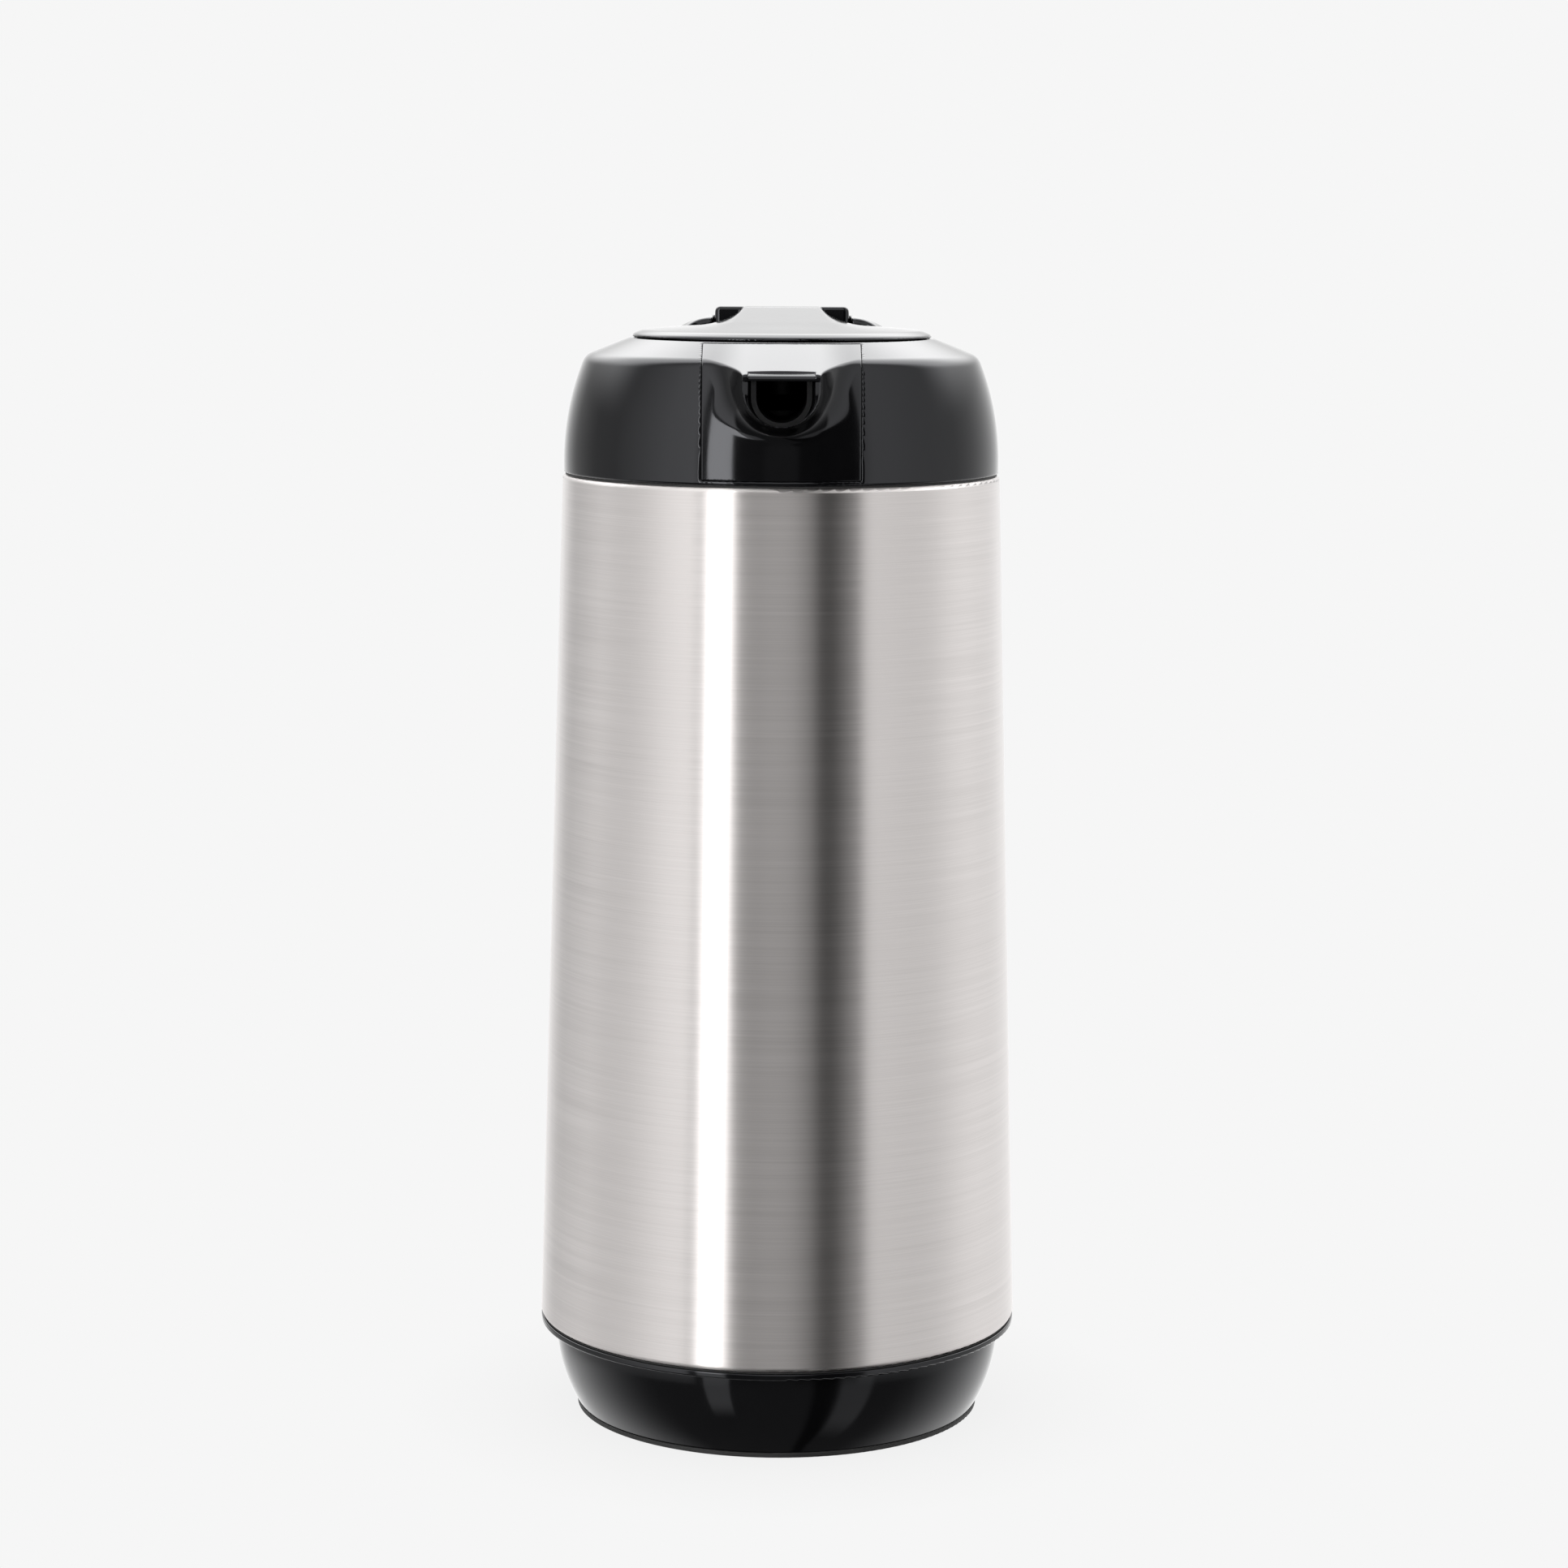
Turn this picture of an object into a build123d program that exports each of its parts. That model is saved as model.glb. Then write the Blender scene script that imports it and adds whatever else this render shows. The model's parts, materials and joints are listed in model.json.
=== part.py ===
from build123d import *
import math
import os

# A pouring vacuum jug with a glass liner. Millimetres, Z up from the table, spout at -Y, handle at +Y.

os.makedirs("parts", exist_ok=True)

# --- Driving dimensions -------------------------------------------------------------------------------------
shell_bottom_radius = 70.0
shell_top_radius = 63.0
shell_bottom = 28.0
shell_top = 275.5
sheet = 0.6
hem = 4.0

collar_bottom = 276.1
collar_wall_thickness = 2.4
collar_spigot_bottom = 271.1
bow_radius = 78.0
bow_height = 279.0
bow_centre = shell_top_radius - 0.34 - bow_radius
shoulder_height = 308.6
mouth_radius = 43.4
mouth_height = 313.7

spout_tip = 69.0
spout_top = 307.5
spout_half_width = 10.7
spout_wall = 2.0
spout_back_radius = 44.8
insert_half_width = 22.0
tube_half_width = 8.3
tube_bore_half_width = 6.9
tube_centre_height = 300.6
tube_top = 306.6

pin_y = 48.0
pin_height = 313.0
pin_radius = 1.5
block_half_width = 20.0
pocket_half_width = 20.8
pocket_radius = 21.3
hump_front = 45.0
hump_back = 73.0
hump_floor = 288.0
cheek_height = 318.7

lid_radius = 43.0
lid_bottom = 314.0
lid_top = 318.5
ramp_top = 322.4

liner_radius = 60.0
liner_rim = 281.0
glass = 1.6
vacuum_gap = 3.6
neck_radius = 30.6

running = 0.07  # radial clearance of a pin in a hole it turns in
pressed = 0.02  # radial clearance of a pin in a hole it stays in
seat = 0.1  # gap between pieces that rest against each other
squeeze = 0.03  # gap between a flat gasket and its seats

upper_screw_height = 297.0
upper_screw_x = 12.0
lower_screw_heights = (112.0, 126.0)
clamp_screw_circle = 53.6
base_screw_circle = 55.0
lid_screw_circle = 29.0
tapped_radius = 1.5
handle_screw_hole = 1.95
cut_length = 100.0  # long enough to pass through everything in its way


# --- Shared geometry ----------------------------------------------------------------------------------------
def shell_radius(height):
    """Outer radius of the tapered shell at a height."""
    share = (height - shell_bottom) / (shell_top - shell_bottom)
    return shell_bottom_radius + share * (shell_top_radius - shell_bottom_radius)


def collar_radius(height, inset=0.0):
    """Radius of the collar's bowed side wall at a height, inset from the outside."""
    return bow_centre + math.sqrt((bow_radius - inset) ** 2 - (height - bow_height) ** 2)


def collar_top(radius):
    """Height of the collar's sloping top at a radius."""
    slope = (mouth_height - shoulder_height) / (collar_radius(shoulder_height) - mouth_radius)
    return mouth_height - slope * (radius - mouth_radius)


def outline(*points, rounds=()):
    """Draws a closed outline in the active sketch. Each of rounds is a corner and its radius."""
    with BuildLine() as border:
        Polyline(*points, close=True)
    make_face(border.line.edges())
    for corner, radius in rounds:
        fillet(vertices().sort_by_distance(Vector(*corner))[0], radius)


def u_shape(half_width, round_height, top):
    """Draws a U in the active sketch: half round below, straight sides and a flat top."""
    with BuildLine() as border:
        Line((-half_width, round_height), (-half_width, top))
        Line((-half_width, top), (half_width, top))
        Line((half_width, top), (half_width, round_height))
        ThreePointArc((half_width, round_height), (0, round_height - half_width), (-half_width, round_height))
    make_face(border.line.edges())


def facing_y(distance):
    """The upright plane at Y = distance, with X across and Z up."""
    return Plane.XZ.offset(-distance)


def facing_down(radius, height, count, start_angle):
    """Downward planes at equal steps around a circle."""
    angles = [math.radians(start_angle + step * 360 / count) for step in range(count)]
    return [
        Plane(origin=(radius * math.cos(angle), radius * math.sin(angle), height), z_dir=(0, 0, -1))
        for angle in angles
    ]


def facing_hand(*places):
    """Planes that face -Y, each at an X, Y, Z place."""
    return [Plane(origin=place, x_dir=(1, 0, 0), z_dir=(0, -1, 0)) for place in places]


def socket_screws(name, seats, head, socket, shank):
    """Hexagon socket screws on planes that lie under their heads. Head and shank are radius and length."""
    socket_floor = 0.5
    with BuildPart() as screws:
        for under_head in seats:
            with BuildSketch(under_head):
                Circle(head[0])
                RegularPolygon(socket, 6, mode=Mode.SUBTRACT)
            extrude(amount=head[1])
            with BuildSketch(under_head.offset(socket_floor)):
                Circle(shank[0])
            extrude(amount=-shank[1] - socket_floor)
    finish(screws, name)


def finish(piece, name):
    """Labels a finished piece and writes its STEP file."""
    piece.part.label = name
    export_step(piece.part, f"parts/{name}.step")


# --- Stainless shell ----------------------------------------------------------------------------------------
with BuildPart() as outer_shell:
    with BuildSketch(Plane.XZ):
        outline(
            (shell_bottom_radius - hem, shell_bottom),
            (shell_bottom_radius, shell_bottom),
            (shell_top_radius, shell_top),
            (shell_top_radius - hem, shell_top),
            (shell_top_radius - hem, shell_top - sheet),
            (shell_top_radius - sheet, shell_top - sheet),
            (shell_bottom_radius - sheet, shell_bottom + sheet),
            (shell_bottom_radius - hem, shell_bottom + sheet),
            rounds=[
                ((shell_bottom_radius, shell_bottom), 1.4),
                ((shell_bottom_radius - sheet, shell_bottom + sheet), 0.8),
                ((shell_top_radius, shell_top), 1.2),
                ((shell_top_radius - sheet, shell_top - sheet), 0.6),
            ],
        )
    revolve(axis=Axis.Z)
    with BuildSketch(Plane.XZ):
        with Locations(*[(0, height) for height in lower_screw_heights]):
            Circle(2.3)
    extrude(amount=-cut_length, mode=Mode.SUBTRACT)
finish(outer_shell, "outer_shell")

# --- Rear hinge housing, joined to the collar below ---------------------------------------------------------
with BuildPart() as hump:
    with BuildSketch(facing_y(hump_front)):
        with BuildLine():
            Polyline((-36, 315.6), (-36, 300), (-24.4, hump_floor))
            Line((-24.4, hump_floor), (24.4, hump_floor))
            Polyline((24.4, hump_floor), (36, 300), (36, 315.6))
            ThreePointArc((36, 315.6), (27.5, 316.5), (21.6, cheek_height))
            Line((21.6, cheek_height), (-21.6, cheek_height))
            ThreePointArc((-21.6, cheek_height), (-27.5, 316.5), (-36, 315.6))
        make_face()
        fillet(vertices().group_by(Axis.Y)[0], 6.0)
    extrude(amount=hump_front - hump_back)
    with BuildSketch(Plane.XY.offset(hump_floor)):
        with BuildLine():
            Line((-24.4, hump_back), (24.4, hump_back))
            ThreePointArc((24.4, hump_back), (26.6, 58), (36, hump_front))
            Line((36, hump_front), (-36, hump_front))
            ThreePointArc((-36, hump_front), (-26.6, 58), (-24.4, hump_back))
        make_face()
    extrude(amount=cheek_height - hump_floor, mode=Mode.INTERSECT)
    fillet(hump.faces().sort_by(Axis.Y)[-1].edges(), 0.5)

# --- Space that the spout piece fills in the collar's front, above a lip that carries it --------------------
lip_height = 1.3
lip_radius = 60.5
with BuildPart() as spout_space:
    with BuildSketch(Plane.XY.offset(collar_bottom + lip_height)):
        with Locations((0, -60)):
            Rectangle(2 * insert_half_width, 60)
    extrude(amount=cut_length)
    with BuildSketch(Plane.XY):
        Circle(spout_back_radius - seat)
    extrude(amount=4 * cut_length, mode=Mode.SUBTRACT)
    with BuildSketch(Plane.XY):
        Circle(lip_radius)
    extrude(amount=collar_bottom + 2 * lip_height, mode=Mode.SUBTRACT)

# --- Collar -------------------------------------------------------------------------------------------------
with BuildPart() as collar:
    with BuildSketch(Plane.XZ):
        with BuildLine():
            wall = ThreePointArc(
                (collar_radius(collar_bottom), collar_bottom),
                (collar_radius(293), 293),
                (collar_radius(shoulder_height), shoulder_height),
            )
            inner_wall = ThreePointArc(
                (collar_radius(307, collar_wall_thickness), 307),
                (collar_radius(293, collar_wall_thickness), 293),
                (collar_radius(278.6, collar_wall_thickness), 278.6),
            )
            Polyline(
                wall @ 1,
                (mouth_radius, mouth_height),
                (mouth_radius - 1, mouth_height),
                (mouth_radius - 1, 304),
                (spout_back_radius - 2 * seat, 304),
                (spout_back_radius - 2 * seat, collar_top(spout_back_radius) - 2.5),
                inner_wall @ 0,
            )
            Polyline(
                inner_wall @ 1,
                (55.5, 278.6),
                (55.5, collar_spigot_bottom),
                (58.8, collar_spigot_bottom),
                (58.8, collar_bottom),
                wall @ 0,
            )
        make_face()
        shoulder = Vector(collar_radius(shoulder_height), shoulder_height)
        fillet(vertices().sort_by_distance(shoulder)[0], 4.0)
    revolve(axis=Axis.Z)
    with BuildSketch(Plane.XY.offset(collar_spigot_bottom)):
        with PolarLocations(clamp_screw_circle, 4, start_angle=45):
            Circle(3.4)
    extrude(amount=14)
    add(hump.part)
    # Pocket that the lid's thumb block swings into, around the hinge pin
    with BuildSketch(Plane.YZ):
        with BuildLine():
            diagonal = math.sqrt(0.5)
            barrel = 5.6
            open_top = pin_height + pocket_radius
            ThreePointArc(
                (pin_y - barrel, pin_height),
                (pin_y - barrel * diagonal, pin_height - barrel * diagonal),
                (pin_y, pin_height - barrel),
            )
            Line((pin_y, pin_height - barrel), (pin_y, pin_height - pocket_radius))
            ThreePointArc(
                (pin_y, pin_height - pocket_radius),
                (pin_y + pocket_radius * diagonal, pin_height - pocket_radius * diagonal),
                (pin_y + pocket_radius, pin_height),
            )
            Polyline(
                (pin_y + pocket_radius, pin_height),
                (pin_y + pocket_radius, open_top),
                (pin_y - barrel, open_top),
                (pin_y - barrel, pin_height),
            )
        make_face()
    extrude(amount=pocket_half_width, both=True, mode=Mode.SUBTRACT)
    # Hinge pin: pressed in from +X, blind at -X
    with BuildSketch(Plane.YZ.offset(-pocket_half_width - 2.5)):
        with Locations((pin_y, pin_height)):
            Circle(pin_radius + pressed)
    extrude(amount=cut_length, mode=Mode.SUBTRACT)
    # Handle screws, driven from inside the pocket
    with BuildSketch(facing_y(67.5)):
        with Locations((-upper_screw_x, upper_screw_height), (upper_screw_x, upper_screw_height)):
            Circle(3.7)
    extrude(amount=12, mode=Mode.SUBTRACT)
    with BuildSketch(facing_y(60)):
        with Locations((-upper_screw_x, upper_screw_height), (upper_screw_x, upper_screw_height)):
            Circle(2.2)
    extrude(amount=-20, mode=Mode.SUBTRACT)
    # Screw holes of the clamp ring, from below
    with BuildSketch(Plane.XY.offset(collar_spigot_bottom)):
        with PolarLocations(clamp_screw_circle, 4, start_angle=45):
            Circle(tapped_radius)
    extrude(amount=12, mode=Mode.SUBTRACT)
    add(spout_space.part, mode=Mode.SUBTRACT)
    with BuildSketch(facing_y(-40)):
        u_shape(tube_half_width + 2 * seat, tube_centre_height, tube_top + 2 * seat)
    extrude(amount=10, mode=Mode.SUBTRACT)
finish(collar, "collar")

# --- Spout: the front piece of the collar -------------------------------------------------------------------
with BuildPart() as spout:
    with BuildSketch(Plane.XZ):
        with BuildLine():
            skin = ThreePointArc(
                (collar_radius(collar_bottom + 1.4), collar_bottom + 1.4),
                (collar_radius(293), 293),
                (collar_radius(shoulder_height), shoulder_height),
            )
            skin_back = ThreePointArc(
                (collar_radius(306.9, spout_wall), 306.9),
                (collar_radius(293, spout_wall), 293),
                (collar_radius(collar_bottom + 1.4, spout_wall), collar_bottom + 1.4),
            )
            Polyline(
                skin @ 1,
                (spout_back_radius, collar_top(spout_back_radius)),
                (spout_back_radius, collar_top(spout_back_radius) - 2.2),
                skin_back @ 0,
            )
            Line(skin_back @ 1, skin @ 0)
        make_face()
        fillet(vertices().sort_by_distance(shoulder)[0], 4.0)
    revolve(axis=Axis.Z)
    with BuildSketch(Plane.XY.offset(collar_bottom)):
        with Locations((0, -60)):
            Rectangle(2 * (insert_half_width - seat), 60)
    extrude(amount=cut_length, mode=Mode.INTERSECT)
    # The trumpet grows from the wall to the mouth; each section is the distance from the axis, half width,
    # lowest height and top height
    for distance, half_width, low, top in (
        (56.0, 21.4, 279.4, 308.5),
        (60.0, 16.4, 284.0, 308.3),
        (63.0, 13.4, 288.0, 308.1),
        (66.0, 11.8, 290.4, 307.8),
        (spout_tip, spout_half_width, 291.6, spout_top),
    ):
        with BuildSketch(facing_y(-distance)):
            u_shape(half_width, low + half_width, top)
    loft()
    # Hollow the trumpet's back flush with the skin
    with BuildSketch(Plane.XZ):
        with BuildLine():
            back = ThreePointArc(
                (collar_radius(306.9, spout_wall), 306.9),
                (collar_radius(293, spout_wall), 293),
                (collar_radius(collar_bottom, spout_wall), collar_bottom),
            )
            Polyline(back @ 1, (0, collar_bottom), (0, 306.9), back @ 0)
        make_face()
    revolve(axis=Axis.Z, mode=Mode.SUBTRACT)
    with BuildSketch(facing_y(-50)):
        u_shape(tube_half_width + seat, tube_centre_height, tube_top + seat)
    extrude(amount=cut_length, mode=Mode.SUBTRACT)
    # Bevel inside the mouth
    with BuildSketch(facing_y(-spout_tip + 1.6)):
        u_shape(tube_half_width + seat, tube_centre_height, 306.2)
    with BuildSketch(facing_y(-spout_tip - seat)):
        u_shape(spout_half_width - 0.7, tube_centre_height + 1.6, 306.2)
    loft(mode=Mode.SUBTRACT)
finish(spout, "spout")

# --- Pouring funnel: neck, bowl and spout tube --------------------------------------------------------------
with BuildPart() as pour_funnel:
    with BuildSketch(facing_y(-24)):
        u_shape(tube_half_width, tube_centre_height, tube_top)
    extrude(amount=spout_tip - 24 - 1.0)
    with BuildSketch(Plane.XZ):
        outline(
            (21.4, 272),
            (23.6, 272),
            (23.6, 283.1),
            (33, 283.1),
            (33, 285.4),
            (24.2, 285.4),
            (41.0, 302.2),
            (44.5, 302.2),
            (44.5, 303.9),
            (42.3, 303.9),
            (42.3, 311.5),
            (40.2, 311.5),
            (40.2, 304.2),
            (21.4, 285.4),
            rounds=[((42.3, 311.5), 0.6), ((40.2, 311.5), 0.6)],
        )
    revolve(axis=Axis.Z)
    with BuildSketch(Plane.XZ):
        outline((0, 260), (21.4, 260), (21.4, 285.4), (40.2, 304.2), (40.2, 320), (0, 320))
    revolve(axis=Axis.Z, mode=Mode.SUBTRACT)
    with BuildSketch(facing_y(-20)):
        u_shape(tube_bore_half_width, tube_centre_height, 305.2)
    extrude(amount=cut_length, mode=Mode.SUBTRACT)
finish(pour_funnel, "pour_funnel")

# --- Seals and clamp rings that hold the shell to the collar ------------------------------------------------
with BuildPart() as collar_gasket:
    with BuildSketch(Plane.XZ):
        outline(
            (59.1, shell_top + squeeze),
            (62.2, shell_top + squeeze),
            (62.2, collar_bottom - squeeze),
            (59.1, collar_bottom - squeeze),
        )
    revolve(axis=Axis.Z)
finish(collar_gasket, "collar_gasket")

with BuildPart() as upper_clamp_ring:
    with BuildSketch(Plane.XZ):
        outline(
            (49.6, 268),
            (61.9, 268),
            (61.9, shell_top - sheet - seat),
            (59.1, shell_top - sheet - seat),
            (59.1, 271),
            (49.6, 271),
        )
    revolve(axis=Axis.Z)
    with BuildSketch(Plane.XY.offset(268)):
        with PolarLocations(clamp_screw_circle, 4, start_angle=45):
            Circle(1.7)
    extrude(amount=4, mode=Mode.SUBTRACT)
finish(upper_clamp_ring, "upper_clamp_ring")

upper_clamp_seats = facing_down(clamp_screw_circle, 268.0 - seat, count=4, start_angle=45)
socket_screws("upper_clamp_screws", upper_clamp_seats, head=(2.9, 2.0), socket=1.1, shank=(1.45, 14.1))

with BuildPart() as neck_gasket:
    with BuildSketch(Plane.XZ):
        outline(
            (23.7, liner_rim + 0.05),
            (neck_radius + 0.1, liner_rim + 0.05),
            (neck_radius + 0.1, 274),
            (32.2, 274),
            (32.2, 283.05),
            (23.7, 283.05),
            rounds=[((32.2, 274), 0.8)],
        )
    revolve(axis=Axis.Z)
finish(neck_gasket, "neck_gasket")

# --- Glass liner: two walls joined at the rim, with a sealed gap between them -------------------------------
liner_belly = 66.0
liner_bottom = 34.0
liner_shoulder = 262.0


def liner_half_section(offset):
    """Draws the liner's outer half outline, closed on the axis and moved inwards by offset."""
    radius = liner_radius - offset
    neck = neck_radius - offset
    above_rim = liner_rim + 9
    with BuildLine() as border:
        Line((0, liner_bottom + offset), (0, above_rim))
        Polyline((0, above_rim), (neck, above_rim), (neck, liner_shoulder - offset))
        Polyline((neck, liner_shoulder - offset), (radius, liner_shoulder - offset), (radius, liner_belly))
        depth = liner_belly - liner_bottom - offset
        EllipticalCenterArc((0, liner_belly), radius, depth, start_angle=270, arc_size=90)
    make_face(border.line.edges())
    fillet(vertices().sort_by_distance(Vector(radius, liner_shoulder - offset))[0], 25.0 - offset)
    fillet(vertices().sort_by_distance(Vector(neck, liner_shoulder - offset))[0], 3.0 + offset)


with BuildPart() as liner_void:
    with BuildSketch(Plane.XZ):
        liner_half_section(glass)
    revolve(axis=Axis.Z)
    with BuildSketch(Plane.XZ):
        liner_half_section(glass + vacuum_gap)
    revolve(axis=Axis.Z, mode=Mode.SUBTRACT)
    with BuildSketch(Plane.XY.offset(liner_rim - 1.2)):
        Circle(liner_radius)
    extrude(amount=cut_length, mode=Mode.SUBTRACT)

with BuildPart() as glass_liner:
    with BuildSketch(Plane.XZ):
        liner_half_section(0)
    revolve(axis=Axis.Z)
    with BuildSketch(Plane.XZ):
        liner_half_section(2 * glass + vacuum_gap)
    revolve(axis=Axis.Z, mode=Mode.SUBTRACT)
    with BuildSketch(Plane.XY.offset(liner_rim)):
        Circle(liner_radius)
    extrude(amount=cut_length, mode=Mode.SUBTRACT)
    fillet(glass_liner.edges().group_by(Axis.Z)[-1], 1.0)
    add(liner_void.part, mode=Mode.SUBTRACT)
    # Sealed tip of the evacuation tube under the bottom
    with BuildSketch(Plane.XZ):
        outline((0, liner_bottom + 1), (2.6, liner_bottom + 1), (2.6, 30), (0, 26))
    revolve(axis=Axis.Z)
finish(glass_liner, "glass_liner")

# --- Base ---------------------------------------------------------------------------------------------------
base_lip = 65.4
base_foot = 59.0
foot_radius = 59.2

with BuildPart() as base_gasket:
    with BuildSketch(Plane.XZ):
        outline(
            (62, shell_bottom - 0.4),
            (69.2, shell_bottom - 0.4),
            (69.2, shell_bottom - squeeze),
            (62, shell_bottom - squeeze),
        )
    revolve(axis=Axis.Z)
finish(base_gasket, "base_gasket")

with BuildPart() as base:
    with BuildSketch(Plane.XZ):
        with BuildLine():
            cup = ThreePointArc((base_lip, 25.7), (63.1, 10.5), (base_foot, 1.5))
            cup_inside = ThreePointArc((56.6, 4.4), (61.0, 11.5), (62.6, 22.5))
            Polyline(
                cup @ 0,
                (shell_bottom_radius - 0.1, 25.7),
                (shell_bottom_radius - 0.1, 27.55),
                (60.5, 27.55),
                (60.5, 22.5),
                cup_inside @ 1,
            )
            Polyline(
                cup_inside @ 0,
                (41.2, 4.4),
                (41.2, 11.5),
                (38.2, 11.5),
                (38.2, 1.5),
                cup @ 1,
            )
        make_face()
        for corner, radius in (
            ((shell_bottom_radius - 0.1, 25.7), 0.6),
            ((shell_bottom_radius - 0.1, 27.55), 0.4),
            ((base_lip, 25.7), 0.7),
            ((base_foot, 1.5), 0.6),
        ):
            fillet(vertices().sort_by_distance(Vector(*corner))[0], radius)
    revolve(axis=Axis.Z)
    with BuildSketch(Plane.XY.offset(4.0)):
        with PolarLocations(base_screw_circle, 3, start_angle=90):
            Circle(4.6)
    extrude(amount=24.5)
    with BuildSketch(Plane.XY):
        with PolarLocations(base_screw_circle, 3, start_angle=90):
            Circle(3.8)
    extrude(amount=8, mode=Mode.SUBTRACT)
    with BuildSketch(Plane.XY):
        with PolarLocations(base_screw_circle, 3, start_angle=90):
            Circle(2.15)
    extrude(amount=cut_length, mode=Mode.SUBTRACT)
finish(base, "base")

base_seats = facing_down(base_screw_circle, 8.0 - seat, count=3, start_angle=90)
socket_screws("base_screws", base_seats, head=(3.5, 2.4), socket=1.5, shank=(1.9, 24.1))

with BuildPart() as lower_clamp_ring:
    with BuildSketch(Plane.XZ):
        outline(
            (50.5, shell_bottom + sheet + seat),
            (68.0, shell_bottom + sheet + seat),
            (68.9, shell_bottom + 2.2),
            (68.9, 33),
            (50.5, 33),
        )
    revolve(axis=Axis.Z)
    with BuildSketch(Plane.XY.offset(28)):
        with PolarLocations(base_screw_circle, 3, start_angle=90):
            Circle(1.95)
    extrude(amount=6, mode=Mode.SUBTRACT)
finish(lower_clamp_ring, "lower_clamp_ring")

with BuildPart() as foot_ring:
    with BuildSketch(Plane.XZ):
        outline(
            (47.0, 0),
            (foot_radius, 0),
            (foot_radius, 1.45),
            (47.0, 1.45),
            rounds=[((foot_radius, 0), 0.4), ((foot_radius, 1.45), 0.3)],
        )
    revolve(axis=Axis.Z)
finish(foot_ring, "foot_ring")

with BuildPart() as bottom_cap:
    with BuildSketch(Plane.XZ):
        outline(
            (0, 8.4),
            (34.8, 8.4),
            (34.8, 1.8),
            (38.1, 1.8),
            (38.1, 11.4),
            (0, 11.4),
            rounds=[((38.1, 1.8), 0.5), ((34.8, 1.8), 0.5)],
        )
    revolve(axis=Axis.Z)
    with BuildSketch(Plane.XY.offset(2.4)):
        RectangleRounded(66, 5, 2.2)
    extrude(amount=6.5)
finish(bottom_cap, "bottom_cap")

with BuildPart() as liner_cushion:
    with BuildSketch(Plane.XZ):
        outline(
            (22, 11.5),
            (36.5, 11.5),
            (42, 30),
            (42, 44),
            (36, 46),
            (22, 40),
            rounds=[((36.5, 11.5), 2.0)],
        )
    revolve(axis=Axis.Z)
    with BuildSketch(Plane.XZ):
        liner_half_section(-seat)
    revolve(axis=Axis.Z, mode=Mode.SUBTRACT)
finish(liner_cushion, "liner_cushion")

# --- Lid ----------------------------------------------------------------------------------------------------
with BuildPart() as thumb_block:
    with BuildSketch(Plane.YZ):
        with Locations((pin_y, pin_height)):
            Circle(4.6)
        outline(
            (pin_y - 4.6, pin_height),
            (pin_y - 4.6, ramp_top),
            (pin_y + 18.4, ramp_top - 0.6),
            (pin_y + 18.6, 320.0),
            (pin_y + 16.0, 317.4),
            (pin_y + 4.0, 315.2),
            rounds=[
                ((pin_y - 4.6, ramp_top), 1.0),
                ((pin_y + 18.4, ramp_top - 0.6), 1.0),
                ((pin_y + 18.6, 320.0), 1.0),
            ],
        )
    extrude(amount=block_half_width, both=True)
    with BuildSketch(facing_y(pin_y - 10)):
        outline(
            (-block_half_width, pin_height - 10),
            (block_half_width, pin_height - 10),
            (block_half_width, ramp_top),
            (-block_half_width, ramp_top),
            rounds=[((block_half_width, ramp_top), 1.8), ((-block_half_width, ramp_top), 1.8)],
        )
    extrude(amount=-cut_length, mode=Mode.INTERSECT)

with BuildPart() as lid_cover:
    with BuildSketch(Plane.XZ):
        with BuildLine():
            dome = ThreePointArc((41.4, 316.6), (22.0, 318.0), (0, lid_top))
            Polyline(
                dome @ 1,
                (0, 315.9),
                (38.8, 314.9),
                (39.6, 311.8),
                (41.6, 311.8),
                (41.6, lid_bottom),
                (lid_radius, lid_bottom),
                (lid_radius, 315.4),
                dome @ 0,
            )
        make_face()
        fillet(vertices().sort_by_distance(Vector(lid_radius, 315.4))[0], 0.8)
    revolve(axis=Axis.Z)
    # Ramp that rises to the thumb block: distance from the axis, top half width, foot half width, top height
    for distance, top_half, foot_half, top in (
        (-20.0, 16.0, 30.0, 318.2),
        (12.0, 13.2, 26.0, 320.3),
        (pin_y - 3.0, 12.4, 14.2, ramp_top),
    ):
        with BuildSketch(facing_y(distance)):
            outline((-foot_half, 316.2), (foot_half, 316.2), (top_half, top), (-top_half, top))
    loft()
    add(thumb_block.part)
    # Web from the disc's rear edge to the hinge barrel
    with BuildSketch(Plane.XY.offset(lid_bottom)):
        with Locations((0, 43)):
            Rectangle(24, 6)
    extrude(amount=3)
    # Room for the coil of the spring
    with BuildSketch(Plane.YZ.offset(7)):
        with Locations((pin_y, pin_height)):
            Circle(5.0)
    extrude(amount=8, mode=Mode.SUBTRACT)
    with BuildSketch(Plane.YZ):
        with Locations((pin_y, pin_height)):
            Circle(pin_radius + running)
    extrude(amount=block_half_width, both=True, mode=Mode.SUBTRACT)
    # Bosses for the screws of the inner plate
    with BuildSketch(Plane.XY.offset(308.0 + seat)):
        with PolarLocations(lid_screw_circle, 3, start_angle=30):
            Circle(3.2)
    extrude(amount=7.6)
    with BuildSketch(Plane.XY.offset(308.0)):
        with PolarLocations(lid_screw_circle, 3, start_angle=30):
            Circle(tapped_radius)
    extrude(amount=7, mode=Mode.SUBTRACT)
finish(lid_cover, "lid_cover")

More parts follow.
